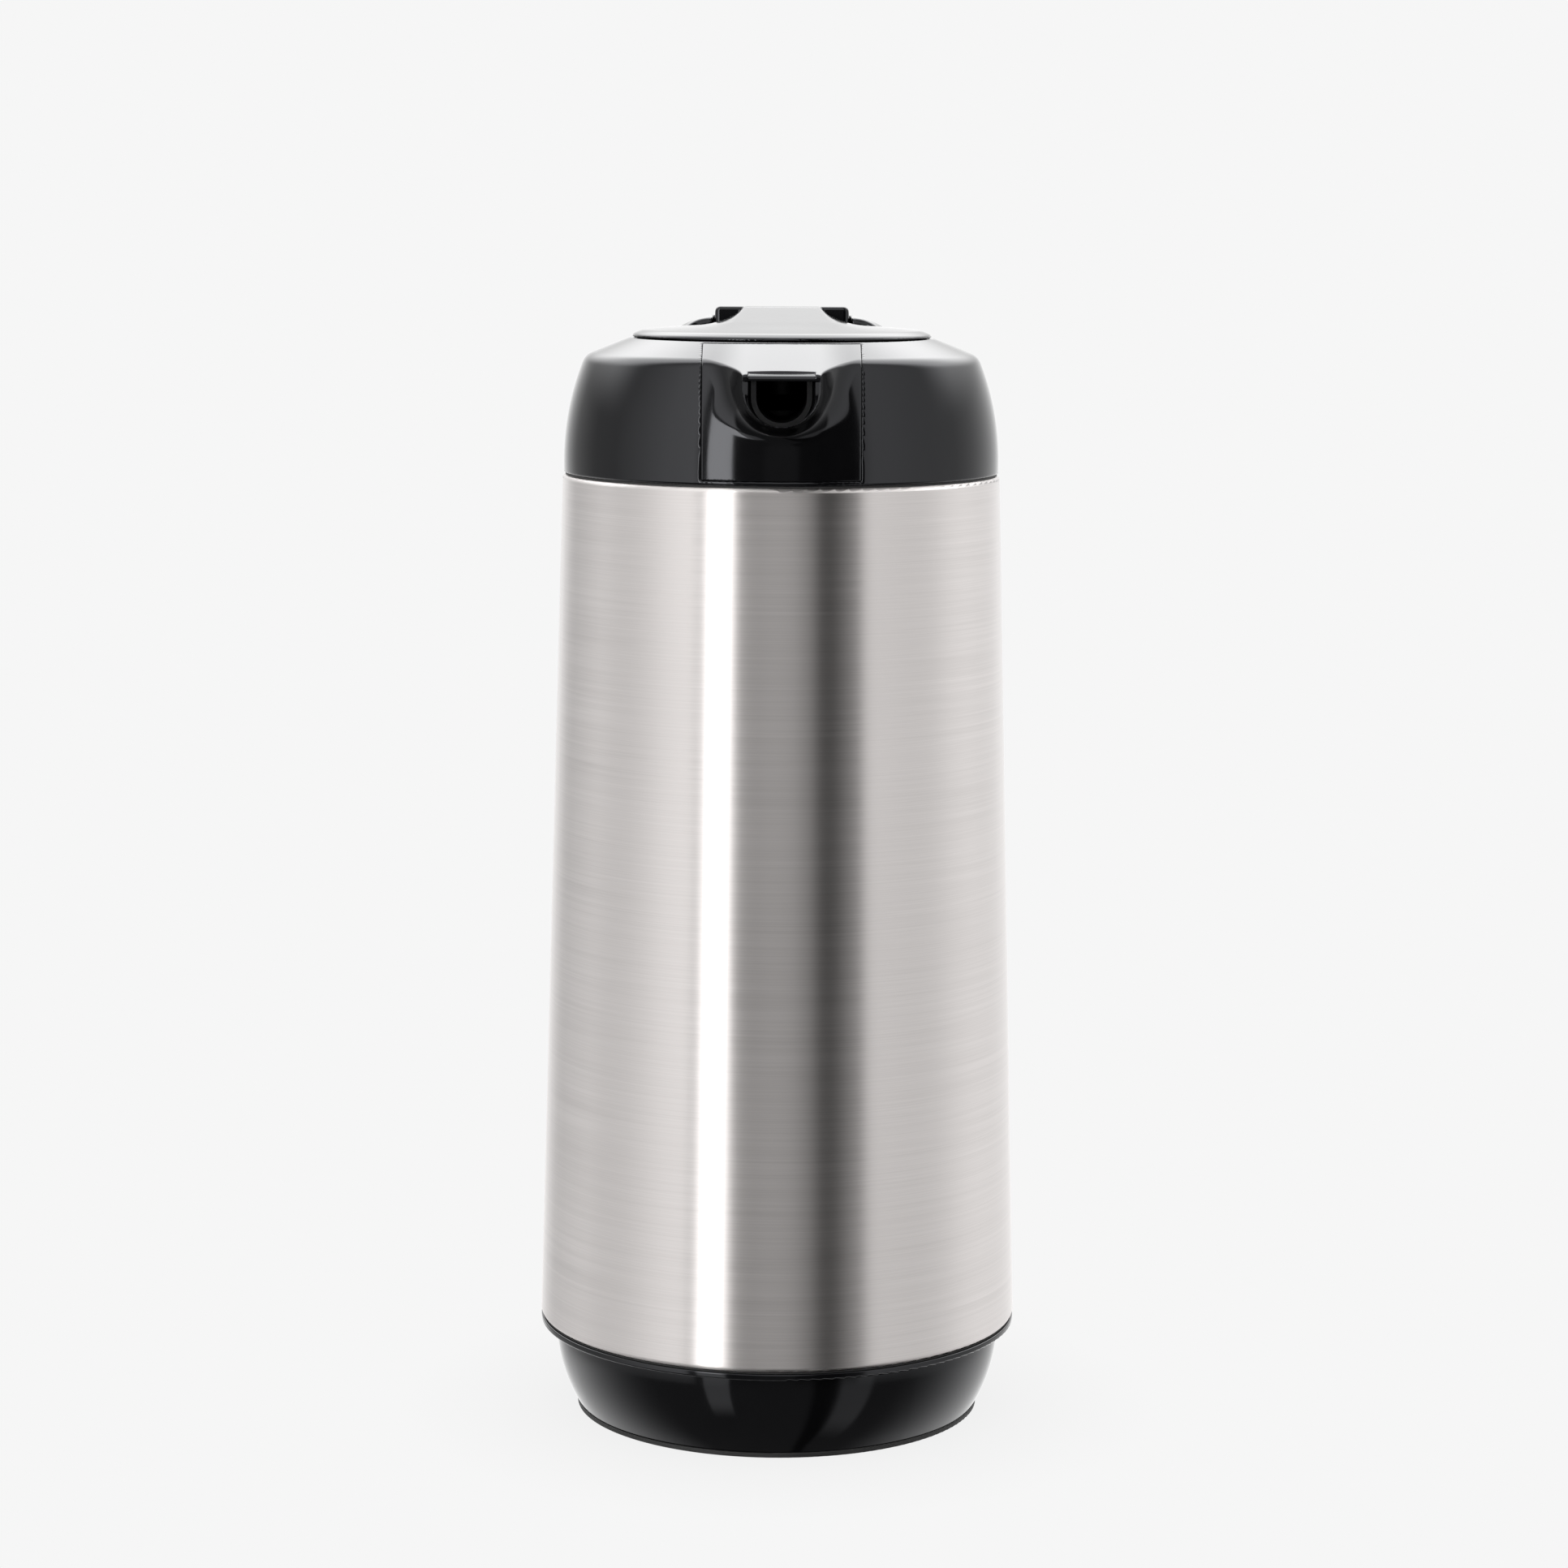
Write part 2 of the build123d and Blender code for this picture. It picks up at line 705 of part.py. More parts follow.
with BuildPart() as lid_inner:
    with BuildSketch(Plane.XZ):
        outline(
            (0, 305.6),
            (36.7, 305.6),
            (36.7, 308.7),
            (38.6, 308.7),
            (38.6, 314.3),
            (36.8, 314.3),
            (35.6, 310.4),
            (34.6, 308.0),
            (0, 308.0),
        )
    revolve(axis=Axis.Z)
    with BuildSketch(Plane.XY.offset(308.0)):
        Circle(5.0)
    extrude(amount=6)
    with BuildSketch(Plane.XY.offset(305.6)):
        Circle(1.8)
    extrude(amount=7.4, mode=Mode.SUBTRACT)
    with BuildSketch(Plane.XY.offset(305.6)):
        with PolarLocations(lid_screw_circle, 3, start_angle=30):
            Circle(1.6)
    extrude(amount=2.4, mode=Mode.SUBTRACT)
finish(lid_inner, "lid_inner")

lid_screw_seats = facing_down(lid_screw_circle, 305.6 - seat, count=3, start_angle=30)
socket_screws("lid_screws", lid_screw_seats, head=(2.8, 1.8), socket=1.1, shank=(1.45, 8.5))

with BuildPart() as lid_gasket:
    with BuildSketch(Plane.XZ):
        outline((36.8, 305.8), (39.6, 305.8), (39.9, 307.2), (39.6, 308.6), (36.8, 308.6))
    revolve(axis=Axis.Z)
finish(lid_gasket, "lid_gasket")

with BuildPart() as stopper:
    with BuildSketch(Plane.XZ):
        outline(
            (0, 281),
            (17.6, 281),
            (20.4, 286.9),
            (18.0, 286.9),
            (18.0, 293.1),
            (26.0, 293.1),
            (26.0, 295.4),
            (14.0, 298.0),
            (14.0, 305.5),
            (0, 305.5),
            rounds=[((17.6, 281), 1.0), ((26.0, 295.4), 0.8), ((14.0, 298.0), 1.5)],
        )
    revolve(axis=Axis.Z)
    with BuildSketch(Plane.XY.offset(281)):
        Circle(4.4)
    extrude(amount=8, mode=Mode.SUBTRACT)
    with BuildSketch(Plane.XY.offset(281)):
        Circle(2.1)
    extrude(amount=cut_length, mode=Mode.SUBTRACT)
finish(stopper, "stopper")

with BuildPart() as stopper_gasket:
    with BuildSketch(Plane.XZ):
        outline(
            (18.1, 287.0),
            (22.9, 287.0),
            (27.85, 291.95),
            (27.85, 293.0),
            (18.1, 293.0),
            rounds=[((27.85, 291.95), 0.5)],
        )
    revolve(axis=Axis.Z)
finish(stopper_gasket, "stopper_gasket")

stopper_screw_seat = facing_down(0, 289.0 - seat, count=1, start_angle=0)
socket_screws("stopper_screw", stopper_screw_seat, head=(3.9, 2.6), socket=1.6, shank=(1.75, 23.1))

# --- Hinge --------------------------------------------------------------------------------------------------
with BuildPart() as hinge_pin:
    with BuildSketch(Plane.YZ.offset(-pocket_half_width - 2.4)):
        with Locations((pin_y, pin_height)):
            Circle(pin_radius)
    extrude(amount=2 * pocket_half_width + 6)
    chamfer(hinge_pin.edges().filter_by(GeomType.CIRCLE), 0.3)
finish(hinge_pin, "hinge_pin")

coil_radius = 3.4
wire_radius = 0.5
coil_start = 8.6
coil_length = 4.8
with BuildPart() as lid_spring:
    with BuildLine() as coil_line:
        Helix(
            pitch=1.2,
            height=coil_length,
            radius=coil_radius,
            center=(coil_start, pin_y, pin_height),
            direction=(1, 0, 0),
        )
    with BuildSketch(coil_line.line ^ 0):
        Circle(wire_radius)
    sweep(path=coil_line.line, is_frenet=True)
finish(lid_spring, "lid_spring")

# --- Handle -------------------------------------------------------------------------------------------------
# Stations along the handle: Y, Z, angle below +Y in degrees, width, thickness and corner radius
stations = (
    (hump_back + seat, 303.35, 0, 47.6, 29.6, 5.6),
    (86.0, 302.6, 8, 38.0, 25.0, 8.0),
    (99.0, 297.4, 36, 31.5, 21.5, 8.0),
    (108.8, 284.6, 66, 29.0, 19.5, 7.4),
    (113.0, 262.0, 86, 28.0, 19.0, 7.2),
    (112.5, 215.0, 94, 28.0, 19.0, 7.2),
    (107.5, 165.0, 98, 28.0, 19.0, 7.2),
    (101.0, 138.0, 114, 28.0, 19.5, 7.4),
    (87.0, 122.0, 152, 29.0, 21.0, 7.6),
    (62.0, 119.0, 180, 31.0, 28.0, 8.0),
)
cover_screw_seats = ((268.0, 106.2), (162.0, 100.9))

with BuildPart() as handle_blank:
    for y, z, angle, width, thickness, corner in stations:
        along = Vector(0, math.cos(math.radians(angle)), -math.sin(math.radians(angle)))
        with BuildSketch(Plane(origin=(0, y, z), x_dir=(1, 0, 0), z_dir=along)):
            RectangleRounded(width, thickness, corner)
    loft()
    with BuildSketch(Plane.XZ):
        outline(
            (0, 90),
            (shell_radius(90) + seat, 90),
            (shell_radius(150) + seat, 150),
            (0, 150),
        )
    revolve(axis=Axis.Z, mode=Mode.SUBTRACT)

with BuildPart() as cover_space:
    with BuildSketch(Plane.YZ):
        with BuildLine():
            parting = Spline((104.5, 281), (108.3, 262), (108.0, 215), (103.2, 165), (98.5, 146))
            Polyline(parting @ 1, (80, 146), (80, 281), parting @ 0)
        make_face()
    extrude(amount=30, both=True)

with BuildPart() as handle:
    add(handle_blank.part)
    add(cover_space.part, mode=Mode.SUBTRACT)
    with BuildSketch(facing_y(hump_back)):
        with Locations((-upper_screw_x, upper_screw_height), (upper_screw_x, upper_screw_height)):
            Circle(handle_screw_hole)
    extrude(amount=-14, mode=Mode.SUBTRACT)
    with BuildSketch(facing_y(60)):
        with Locations(*[(0, height) for height in lower_screw_heights]):
            Circle(handle_screw_hole)
    extrude(amount=-20, mode=Mode.SUBTRACT)
    for height, seat_y in cover_screw_seats:
        with BuildSketch(facing_y(seat_y)):
            with Locations((0, height)):
                Circle(tapped_radius)
        extrude(amount=-10, mode=Mode.SUBTRACT)
finish(handle, "handle")

with BuildPart() as handle_cover:
    add(handle_blank.part)
    add(cover_space.part, mode=Mode.INTERSECT)
    with BuildSketch(facing_y(90)):
        with Locations(*[(0, height) for height, seat_y in cover_screw_seats]):
            Circle(1.7)
    extrude(amount=-27, mode=Mode.SUBTRACT)
    for height, seat_y in cover_screw_seats:
        with BuildSketch(facing_y(seat_y)):
            with Locations((0, height)):
                Circle(3.2)
        extrude(amount=20, mode=Mode.SUBTRACT)
finish(handle_cover, "handle_cover")

cover_seats = facing_hand(*[(0, seat_y - seat, height) for height, seat_y in cover_screw_seats])
socket_screws("handle_cover_screws", cover_seats, head=(2.8, 1.8), socket=1.1, shank=(1.45, 9.5))

upper_seats = facing_hand(*[(x, 67.4, upper_screw_height) for x in (-upper_screw_x, upper_screw_x)])
socket_screws("handle_upper_screws", upper_seats, head=(3.5, 2.2), socket=1.5, shank=(1.9, 18.2))

with BuildPart() as handle_backing_plate:
    with BuildSketch(Plane.XZ):
        outline(
            (shell_radius(104) - sheet - 2.1, 104),
            (shell_radius(104) - sheet - seat, 104),
            (shell_radius(134) - sheet - seat, 134),
            (shell_radius(134) - sheet - 2.1, 134),
        )
    revolve(axis=Axis.Z)
    with BuildSketch(Plane.XZ):
        with Locations((0, 119)):
            RectangleRounded(24, 30, 4)
    extrude(amount=-cut_length, mode=Mode.INTERSECT)
    with BuildSketch(Plane.XZ):
        with Locations(*[(0, height) for height in lower_screw_heights]):
            Circle(2.1)
    extrude(amount=-cut_length, mode=Mode.SUBTRACT)
finish(handle_backing_plate, "handle_backing_plate")

plate_back = sheet + seat + 2.4
lower_seats = facing_hand(*[(0, shell_radius(height) - plate_back, height) for height in lower_screw_heights])
socket_screws("handle_lower_screws", lower_seats, head=(3.5, 2.0), socket=1.5, shank=(1.9, 14.0))
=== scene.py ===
from functools import reduce
import json
import math

import bmesh
import bpy
import numpy as np
from mathutils import Matrix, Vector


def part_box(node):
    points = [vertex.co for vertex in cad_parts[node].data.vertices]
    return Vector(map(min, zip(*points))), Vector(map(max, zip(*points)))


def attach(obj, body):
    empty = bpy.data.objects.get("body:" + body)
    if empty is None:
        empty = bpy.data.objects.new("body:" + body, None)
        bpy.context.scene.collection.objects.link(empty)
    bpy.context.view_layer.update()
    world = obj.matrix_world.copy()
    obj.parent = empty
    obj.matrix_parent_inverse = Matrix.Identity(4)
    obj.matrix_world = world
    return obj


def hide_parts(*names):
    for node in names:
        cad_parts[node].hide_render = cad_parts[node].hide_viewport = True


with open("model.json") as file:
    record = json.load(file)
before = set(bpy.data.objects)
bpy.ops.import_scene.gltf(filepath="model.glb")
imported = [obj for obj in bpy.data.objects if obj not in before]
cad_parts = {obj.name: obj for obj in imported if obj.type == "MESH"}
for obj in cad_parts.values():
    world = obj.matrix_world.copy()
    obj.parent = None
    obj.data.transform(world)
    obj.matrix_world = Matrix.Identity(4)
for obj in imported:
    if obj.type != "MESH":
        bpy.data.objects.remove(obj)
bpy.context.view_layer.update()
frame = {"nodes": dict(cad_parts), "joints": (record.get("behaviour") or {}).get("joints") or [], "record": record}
MM = 0.001
nodes = frame["nodes"]


# --- Node material helpers ----------------------------------------------------------------------------------
class Shader:
    """A Principled material with short calls for the nodes that feed it."""

    def __init__(self, name):
        self.material = bpy.data.materials.new(name)
        self.material.use_nodes = True
        self.tree = self.material.node_tree
        self.tree.nodes.clear()
        self.output = self.add("ShaderNodeOutputMaterial")
        self.surface = self.add("ShaderNodeBsdfPrincipled")
        self.link(self.surface.outputs[0], self.output.inputs["Surface"])
        self.place = self.add("ShaderNodeTexCoord").outputs["Object"]

    def add(self, kind, **settings):
        node = self.tree.nodes.new(kind)
        for key, value in settings.items():
            setattr(node, key, value)
        return node

    def link(self, output, socket):
        self.tree.links.new(output, socket)
        return socket

    def set(self, **values):
        """Sets or links inputs of the Principled shader by name."""
        for key, value in values.items():
            name = key.replace("_", " ")
            socket = next(s for s in self.surface.inputs if s.name.lower() == name.lower())
            if isinstance(value, bpy.types.NodeSocket):
                self.link(value, socket)
            else:
                socket.default_value = value

    def stretched(self, x, y, z):
        """Object coordinates multiplied by x, y and z."""
        node = self.add("ShaderNodeMapping")
        node.inputs["Scale"].default_value = (x, y, z)
        self.link(self.place, node.inputs["Vector"])
        return node.outputs[0]

    def noise(self, vector, scale=1.0, detail=3.0, roughness=0.5):
        node = self.add("ShaderNodeTexNoise")
        node.inputs["Scale"].default_value = scale
        node.inputs["Detail"].default_value = detail
        node.inputs["Roughness"].default_value = roughness
        self.link(vector, node.inputs["Vector"])
        return node.outputs["Fac"]

    def spread(self, value, low, high, start=0.3, end=0.7):
        """Maps a value from start..end to low..high."""
        node = self.add("ShaderNodeMapRange")
        for key, number in (("From Min", start), ("From Max", end), ("To Min", low), ("To Max", high)):
            node.inputs[key].default_value = number
        self.link(value, node.inputs["Value"])
        return node.outputs["Result"]

    def tint(self, value, dark, light, start=0.3, end=0.7):
        """Mixes two colours by a value between start and end."""
        node = self.add("ShaderNodeMix", data_type="RGBA")
        self.link(self.spread(value, 0.0, 1.0, start, end), node.inputs["Factor"])
        node.inputs["A"].default_value = (*dark, 1.0)
        node.inputs["B"].default_value = (*light, 1.0)
        return node.outputs["Result"]

    def combine(self, operation, first, second):
        """A maths node on two values, each a socket or a number."""
        node = self.add("ShaderNodeMath", operation=operation)
        for socket, value in zip(node.inputs, (first, second)):
            if isinstance(value, bpy.types.NodeSocket):
                self.link(value, socket)
            else:
                socket.default_value = value
        return node.outputs[0]

    def bump(self, height, distance, strength):
        node = self.add("ShaderNodeBump")
        node.inputs["Strength"].default_value = strength
        node.inputs["Distance"].default_value = distance
        self.link(height, node.inputs["Height"])
        return node.outputs["Normal"]


def brushed_stainless():
    """Steel sheet brushed round the body, so that reflections smear up and down."""
    m = Shader("brushed_stainless")
    fine = m.noise(m.stretched(20, 20, 3200), detail=2.0)
    coarse = m.noise(m.stretched(6, 6, 700), detail=3.0)
    cloud = m.noise(m.stretched(14, 14, 9), detail=4.0)
    streaks = m.combine("ADD", m.combine("MULTIPLY", fine, 0.6), m.combine("MULTIPLY", coarse, 0.4))
    tangent = m.add("ShaderNodeTangent", direction_type="RADIAL", axis="Z")
    m.set(
        base_color=m.tint(streaks, (0.60, 0.572, 0.56), (0.69, 0.66, 0.648)),
        metallic=1.0,
        roughness=m.combine("ADD", m.spread(streaks, 0.33, 0.40), m.spread(cloud, -0.015, 0.015)),
        anisotropic=0.99,
        anisotropic_rotation=0.25,
        tangent=tangent.outputs[0],
        normal=m.bump(streaks, 0.004 * MM, 0.6),
    )
    return m.material


def black_gloss():
    """Polished black moulding with the slight waviness and faint handling marks of a real one."""
    m = Shader("black_gloss")
    wave = m.noise(m.stretched(38, 38, 38), detail=1.0)
    smear = m.noise(m.stretched(90, 60, 45), detail=6.0, roughness=0.65)
    specks = m.noise(m.stretched(2600, 2600, 2600), detail=1.0)
    m.set(
        base_color=m.tint(smear, (0.0022, 0.0022, 0.0026), (0.0036, 0.0036, 0.0040)),
        roughness=m.combine("ADD", m.spread(smear, 0.055, 0.11), m.spread(specks, 0.0, 0.03, 0.6, 0.8)),
        ior=1.42,
        specular_tint=(0.94, 0.95, 1.0, 1.0),
        normal=m.bump(wave, 0.05 * MM, 0.5),
    )
    return m.material


def matte_plastic(name, dark, light):
    """Moulding with a fine spark-eroded grain."""
    m = Shader(name)
    grain = m.noise(m.stretched(2200, 2200, 2200), detail=2.0)
    cloud = m.noise(m.stretched(60, 60, 60), detail=3.0)
    m.set(
        base_color=m.tint(cloud, dark, light),
        roughness=m.combine("ADD", m.spread(grain, 0.27, 0.36), m.spread(cloud, 0.0, 0.05)),
        ior=1.38,
        normal=m.bump(grain, 0.03 * MM, 0.6),
    )
    return m.material


def rubber(name, dark, light, roughness):
    """Moulded rubber or silicone with a soft bloom."""
    m = Shader(name)
    grain = m.noise(m.stretched(900, 900, 900), detail=4.0)
    bloom = m.noise(m.stretched(110, 110, 110), detail=3.0)
    m.set(
        base_color=m.tint(bloom, dark, light),
        roughness=m.spread(bloom, roughness, roughness + 0.12),
        ior=1.45,
        normal=m.bump(grain, 0.04 * MM, 0.7),
    )
    return m.material


def silvered_glass():
    """Silvering seen through slightly rippled glass."""
    m = Shader("silvered_glass")
    ripple = m.noise(m.stretched(26, 26, 12), detail=2.0)
    m.set(
        base_color=m.tint(ripple, (0.80, 0.81, 0.82), (0.88, 0.89, 0.90)),
        metallic=1.0,
        roughness=m.spread(ripple, 0.03, 0.07),
        coat_weight=1.0,
        coat_roughness=0.02,
        normal=m.bump(ripple, 0.4 * MM, 0.4),
    )
    return m.material


def plain_steel(name, dark, light, roughness):
    """Turned or drawn steel of the screws, the pin and the spring."""
    m = Shader(name)
    turned = m.noise(m.stretched(1500, 1500, 1500), detail=3.0)
    cloud = m.noise(m.stretched(200, 200, 200), detail=3.0)
    m.set(
        base_color=m.tint(cloud, dark, light),
        metallic=1.0,
        roughness=m.spread(turned, roughness, roughness + 0.12),
        normal=m.bump(turned, 0.01 * MM, 0.5),
    )
    return m.material


materials = {
    "brushed_stainless": brushed_stainless(),
    "black_gloss": black_gloss(),
    "black_matte": matte_plastic("black_matte", (0.005, 0.005, 0.0055), (0.009, 0.009, 0.0095)),
    "natural_pp": matte_plastic("natural_pp", (0.06, 0.06, 0.062), (0.09, 0.09, 0.092)),
    "silicone": rubber("silicone", (0.42, 0.41, 0.39), (0.52, 0.51, 0.49), 0.38),
    "black_rubber": rubber("black_rubber", (0.010, 0.010, 0.010), (0.020, 0.020, 0.020), 0.55),
    "silvered_glass": silvered_glass(),
    "stainless_screw": plain_steel("stainless_screw", (0.50, 0.49, 0.48), (0.60, 0.59, 0.58), 0.22),
    "spring_steel": plain_steel("spring_steel", (0.42, 0.42, 0.42), (0.52, 0.52, 0.52), 0.16),
}
CAD_SHARP, CUT_SHARP = math.radians(28), math.radians(40)
record = frame["record"]
slot_of = {row["node"]: row["material_slot"] for row in record["subparts"]}
body_of = {node: body for body, members in record["behaviour"]["bodies"].items() for node in members}
for name, piece in nodes.items():
    piece.data.materials.clear()
    piece.data.materials.append(materials[slot_of[name]])
    piece.data.shade_smooth()
    piece.data.set_sharp_from_angle(angle=CAD_SHARP)


# --- Shapes drawn by formula --------------------------------------------------------------------------------
# A field is a function of x, y and z in millimetres that is negative inside the piece and zero on its surface.
CORNERS = [np.array(corner) for corner in np.ndindex(2, 2, 2)]
EDGES = [(a, b) for a in CORNERS for b in CORNERS if (b - a).sum() == 1 and (b - a).min() == 0]


def union(a, b, soft):
    """The smaller of two fields, with an inside fillet of about the size of soft."""
    return -cut_off(-a, -b, soft)


def cut_off(a, b, soft):
    """The larger of two fields, with a rounded edge of about the size of soft."""
    soft = np.maximum(soft, 1e-6)
    near = np.maximum(soft - np.abs(a - b), 0.0) / soft
    return np.maximum(a, b) + near * near * soft / 4


def common(*fields):
    """The largest of the fields: negative where all of them are."""
    return reduce(np.maximum, fields)


def between(value, low, high):
    """Negative between low and high."""
    return np.maximum(low - value, value - high)


def within(value, half, middle):
    """Negative where the value is nearer than half to the middle."""
    return np.abs(value - middle) - half


def ease(value, start, end):
    """0 before start, 1 after end and smooth between them."""
    share = np.clip((value - start) / (end - start), 0.0, 1.0)
    return share * share * (3 - 2 * share)


def snapped(field, points, reach, rounds):
    """Moves points along the field's slope, by at most reach a round, until they lie on its surface."""
    step, least_slope = 0.02, 0.5
    for _ in range(rounds):
        value = field(*points.T)
        slope = np.stack([
            field(*(points + step * axis).T) - field(*(points - step * axis).T) for axis in np.eye(3)
        ], axis=1) / (2 * step)
        move = -value[:, None] * slope / np.maximum((slope**2).sum(axis=1), least_slope**2)[:, None]
        points = points + np.clip(move, -reach, reach)
    return points


def surface_net(field, low, high, step):
    """Even quads over the zero surface of a field, as a list of points and a list of faces."""
    low = np.array(low, dtype=float)
    ticks = [np.arange(start, end + step, step) for start, end in zip(low, high)]
    values = field(*np.meshgrid(*[tick.astype(np.float32) for tick in ticks], indexing="ij"))
    inside = values < 0
    cells = np.array(values.shape) - 1

    def shifted(grid, corner):
        return grid[tuple(slice(c, c + n) for c, n in zip(corner, cells))]

    count = sum(shifted(inside, corner).astype(np.int8) for corner in CORNERS)
    active = (count > 0) & (count < 8)
    place = np.argwhere(active)
    number = np.full(active.shape, -1)
    number[active] = np.arange(len(place))
    total = np.zeros((len(place), 3))
    crossings = np.zeros(len(place))
    for a, b in EDGES:
        first = shifted(values, a)[active]
        second = shifted(values, b)[active]
        crossed = (first < 0) != (second < 0)
        share = first[crossed] / (first[crossed] - second[crossed])
        total[crossed] += a + share[:, None] * (b - a)
        crossings[crossed] += 1
    points = low + (place + total / crossings[:, None]) * step

    faces = []
    for axis in range(3):
        side, other = np.eye(3, dtype=int)[(axis + 1) % 3], np.eye(3, dtype=int)[(axis + 2) % 3]
        here = [slice(1, -1)] * 3
        there = [slice(1, -1)] * 3
        here[axis], there[axis] = slice(0, -1), slice(1, None)
        first, second = inside[tuple(here)], inside[tuple(there)]
        for chosen, flip in ((first & ~second, False), (~first & second, True)):
            corner = np.argwhere(chosen) + 1
            corner[:, axis] -= 1
            around = [corner, corner - side, corner - side - other, corner - other]
            quad = np.stack([number[tuple(c.T)] for c in around], axis=1)
            faces.append(quad[:, ::-1] if flip else quad)
    faces = np.concatenate(faces)

    # Even out the quads and put the points back on the surface
    start = np.concatenate([faces, faces]).ravel()
    end = np.concatenate([np.roll(faces, 1, axis=1), np.roll(faces, -1, axis=1)]).ravel()
    shares = np.bincount(start, minlength=len(points))
    for _ in range(3):
        middle = np.stack([np.bincount(start, points[end, c], len(points)) / shares for c in range(3)], axis=1)
        points = snapped(field, (points + middle) / 2, 0.5 * step, rounds=2)
    return snapped(field, points, 0.25 * step, rounds=4), faces


def shown_for(name, mesh):
    """Shows a mesh in place of the CAD node of the same name."""
    piece = bpy.data.objects.new(name + "_visual", mesh)
    bpy.context.scene.collection.objects.link(piece)
    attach(piece, body_of[name])
    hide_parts(name)
    mesh.materials.append(materials[slot_of[name]])
    mesh.shade_smooth()
    return piece


def formed(name, field, low, high, step):
    """A piece whose surface is the zero surface of a field."""
    points, faces = surface_net(field, low, high, step)
    mesh = bpy.data.meshes.new(name + "_visual")
    mesh.vertices.add(len(points))
    mesh.vertices.foreach_set("co", (points * MM).ravel())
    mesh.loops.add(faces.size)
    mesh.loops.foreach_set("vertex_index", faces.ravel())
    mesh.polygons.add(len(faces))
    mesh.polygons.foreach_set("loop_start", np.arange(0, faces.size, 4))
    mesh.update(calc_edges=True)
    mesh.validate()
    return shown_for(name, mesh)


# --- Collar and spout ---------------------------------------------------------------------------------------
# Millimetres. A value whose name ends in EASE is the stretch over which one shape turns into another, and one
# whose name ends in EDGE or FILLET is about the size of a rounding.
EDGE, CRISP_EDGE, SEAM_EDGE = 0.3, 0.2, 0.25
OUTSIDE = 50.0
PIN_Y, PIN_HEIGHT = (value / MM for value in frame["joints"][0]["pos_m"][1:])

# The collar's side is an arc that bows outwards: its radius, its centre's distance from the axis and its height
BOW_RADIUS, BOW_CENTRE, BOW_HEIGHT, BOW_REACH = 78.0, -15.34, 279.0, 60.0
COLLAR_LOW, COLLAR_LOW_EDGE, COLLAR_WALL, COLLAR_ROOF = 276.1, 0.5, 2.4, 2.8
# Plate along the lower edge: inner radius, distance from the side's outside and thickness
PLATE_RADIUS, PLATE_INSET, PLATE_THICK = 55.5, 1.0, 2.5
# Spigot that enters the steel body: half and middle of its wall, and of its height from the collar's lower edge
SPIGOT_WALL, SPIGOT_HEIGHT = (1.65, 57.15), (3.7, -1.3)
# The mouth's ring, from which the shoulder and the flatter roof of the spout slope down
MOUTH_RADIUS, MOUTH_HEIGHT = 43.4, 314.8
MOUTH_INSIDE = MOUTH_RADIUS - 1.0
SHOULDER_SLOPE, SPOUT_SLOPE, SLOPE_EASE = 0.396, 0.303, (9.0, 19.0)
SHOULDER_EDGE, SPOUT_TOP_EDGE, TOP_EDGE_START = 1.7, 0.7, 13.0
LID_SEAT, LID_SEAT_GAP, LID_SEAT_EDGE = 314.65, 0.2, 0.1

# The spout piece lies between two upright seams and stands on the lip at the collar's lower edge
SEAM, SEAM_GAP, LIP = 22.0, 0.04, 1.3
SPOUT_BACK, SPOUT_BACK_GAP, SPOUT_WALL, SPOUT_ROOF, SPOUT_ROOF_EXTRA = 44.8, 0.1, 2.0, 2.2, 0.6
SPOUT_TIP = -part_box("spout")[0][1] / MM
SPOUT_HALF, SPOUT_CENTRE, SPOUT_RIM = 10.7, 303.1, 0.25
FLARE_FALL, FLARE_POWER, FLARE_REACH, FLARE_BACK, FLARE_FILLET = 4.07, 0.66, 30.0, -40.0, 3.0
FLARE_LOWER, FLARE_LOWER_EASE = 0.6, 11.0
BORE_HALF, BORE_CENTRE, BORE_TOP, BEVEL_DEPTH, BEVEL_END = 8.2, 300.9, 305.1, 2.0, 1.2
LEDGE_TOP, LEDGE_SLOPE, LEDGE_DEPTH, LEDGE_HALF, LEDGE_EDGE = 306.3, 0.38, 2.2, 9.2, 1.0

# The housing of the hinge at the back, with the pocket that the thumb block swings into
HUMP_BACK, HUMP_TOP, HUMP_FLOOR, HUMP_HALF = 73.0, 319.1, 288.0, 23.4
HUMP_FRONT, HUMP_FRONT_FALL, HUMP_FRONT_EASE = 44.0, 14.0, (24.0, 42.0)
HUMP_FILLET, HUMP_JOIN_FILLET, HUMP_FLOOR_EDGE = 26.0, 3.0, 8.0
HUMP_TOP_EDGE, HUMP_BACK_EDGE, HUMP_FRONT_EDGE, POCKET_EDGE = 1.6, 0.9, 2.0, 0.6
# How far its top falls, over which distances from the middle, and in front also over which Y
HUMP_FALLS = ((2.6, 21.0, 34.0), (12.0, 35.0, 54.0))
FRONT_FALL, FRONT_FALL_EASE, FRONT_FALL_Y = 8.0, (24.0, 38.0), (30.0, 56.0)
POCKET_HALF, POCKET_RADIUS, BARREL_ROOM = 20.8, 21.3, 5.6
PIN_HOLE, PIN_HOLE_ENDS = 1.6, (-23.4, 24.6)
SCREW_X, SCREW_HEIGHT, SCREW_WELL, SCREW_HOLE = 12.0, 297.0, 3.7, 2.2
SCREW_WELL_Y = (50.0, 67.5)


def side_wall(z):
    """Radius of the bowed side at a height."""
    return BOW_CENTRE + np.sqrt(BOW_RADIUS**2 - np.minimum(np.abs(z - BOW_HEIGHT), BOW_REACH) ** 2)


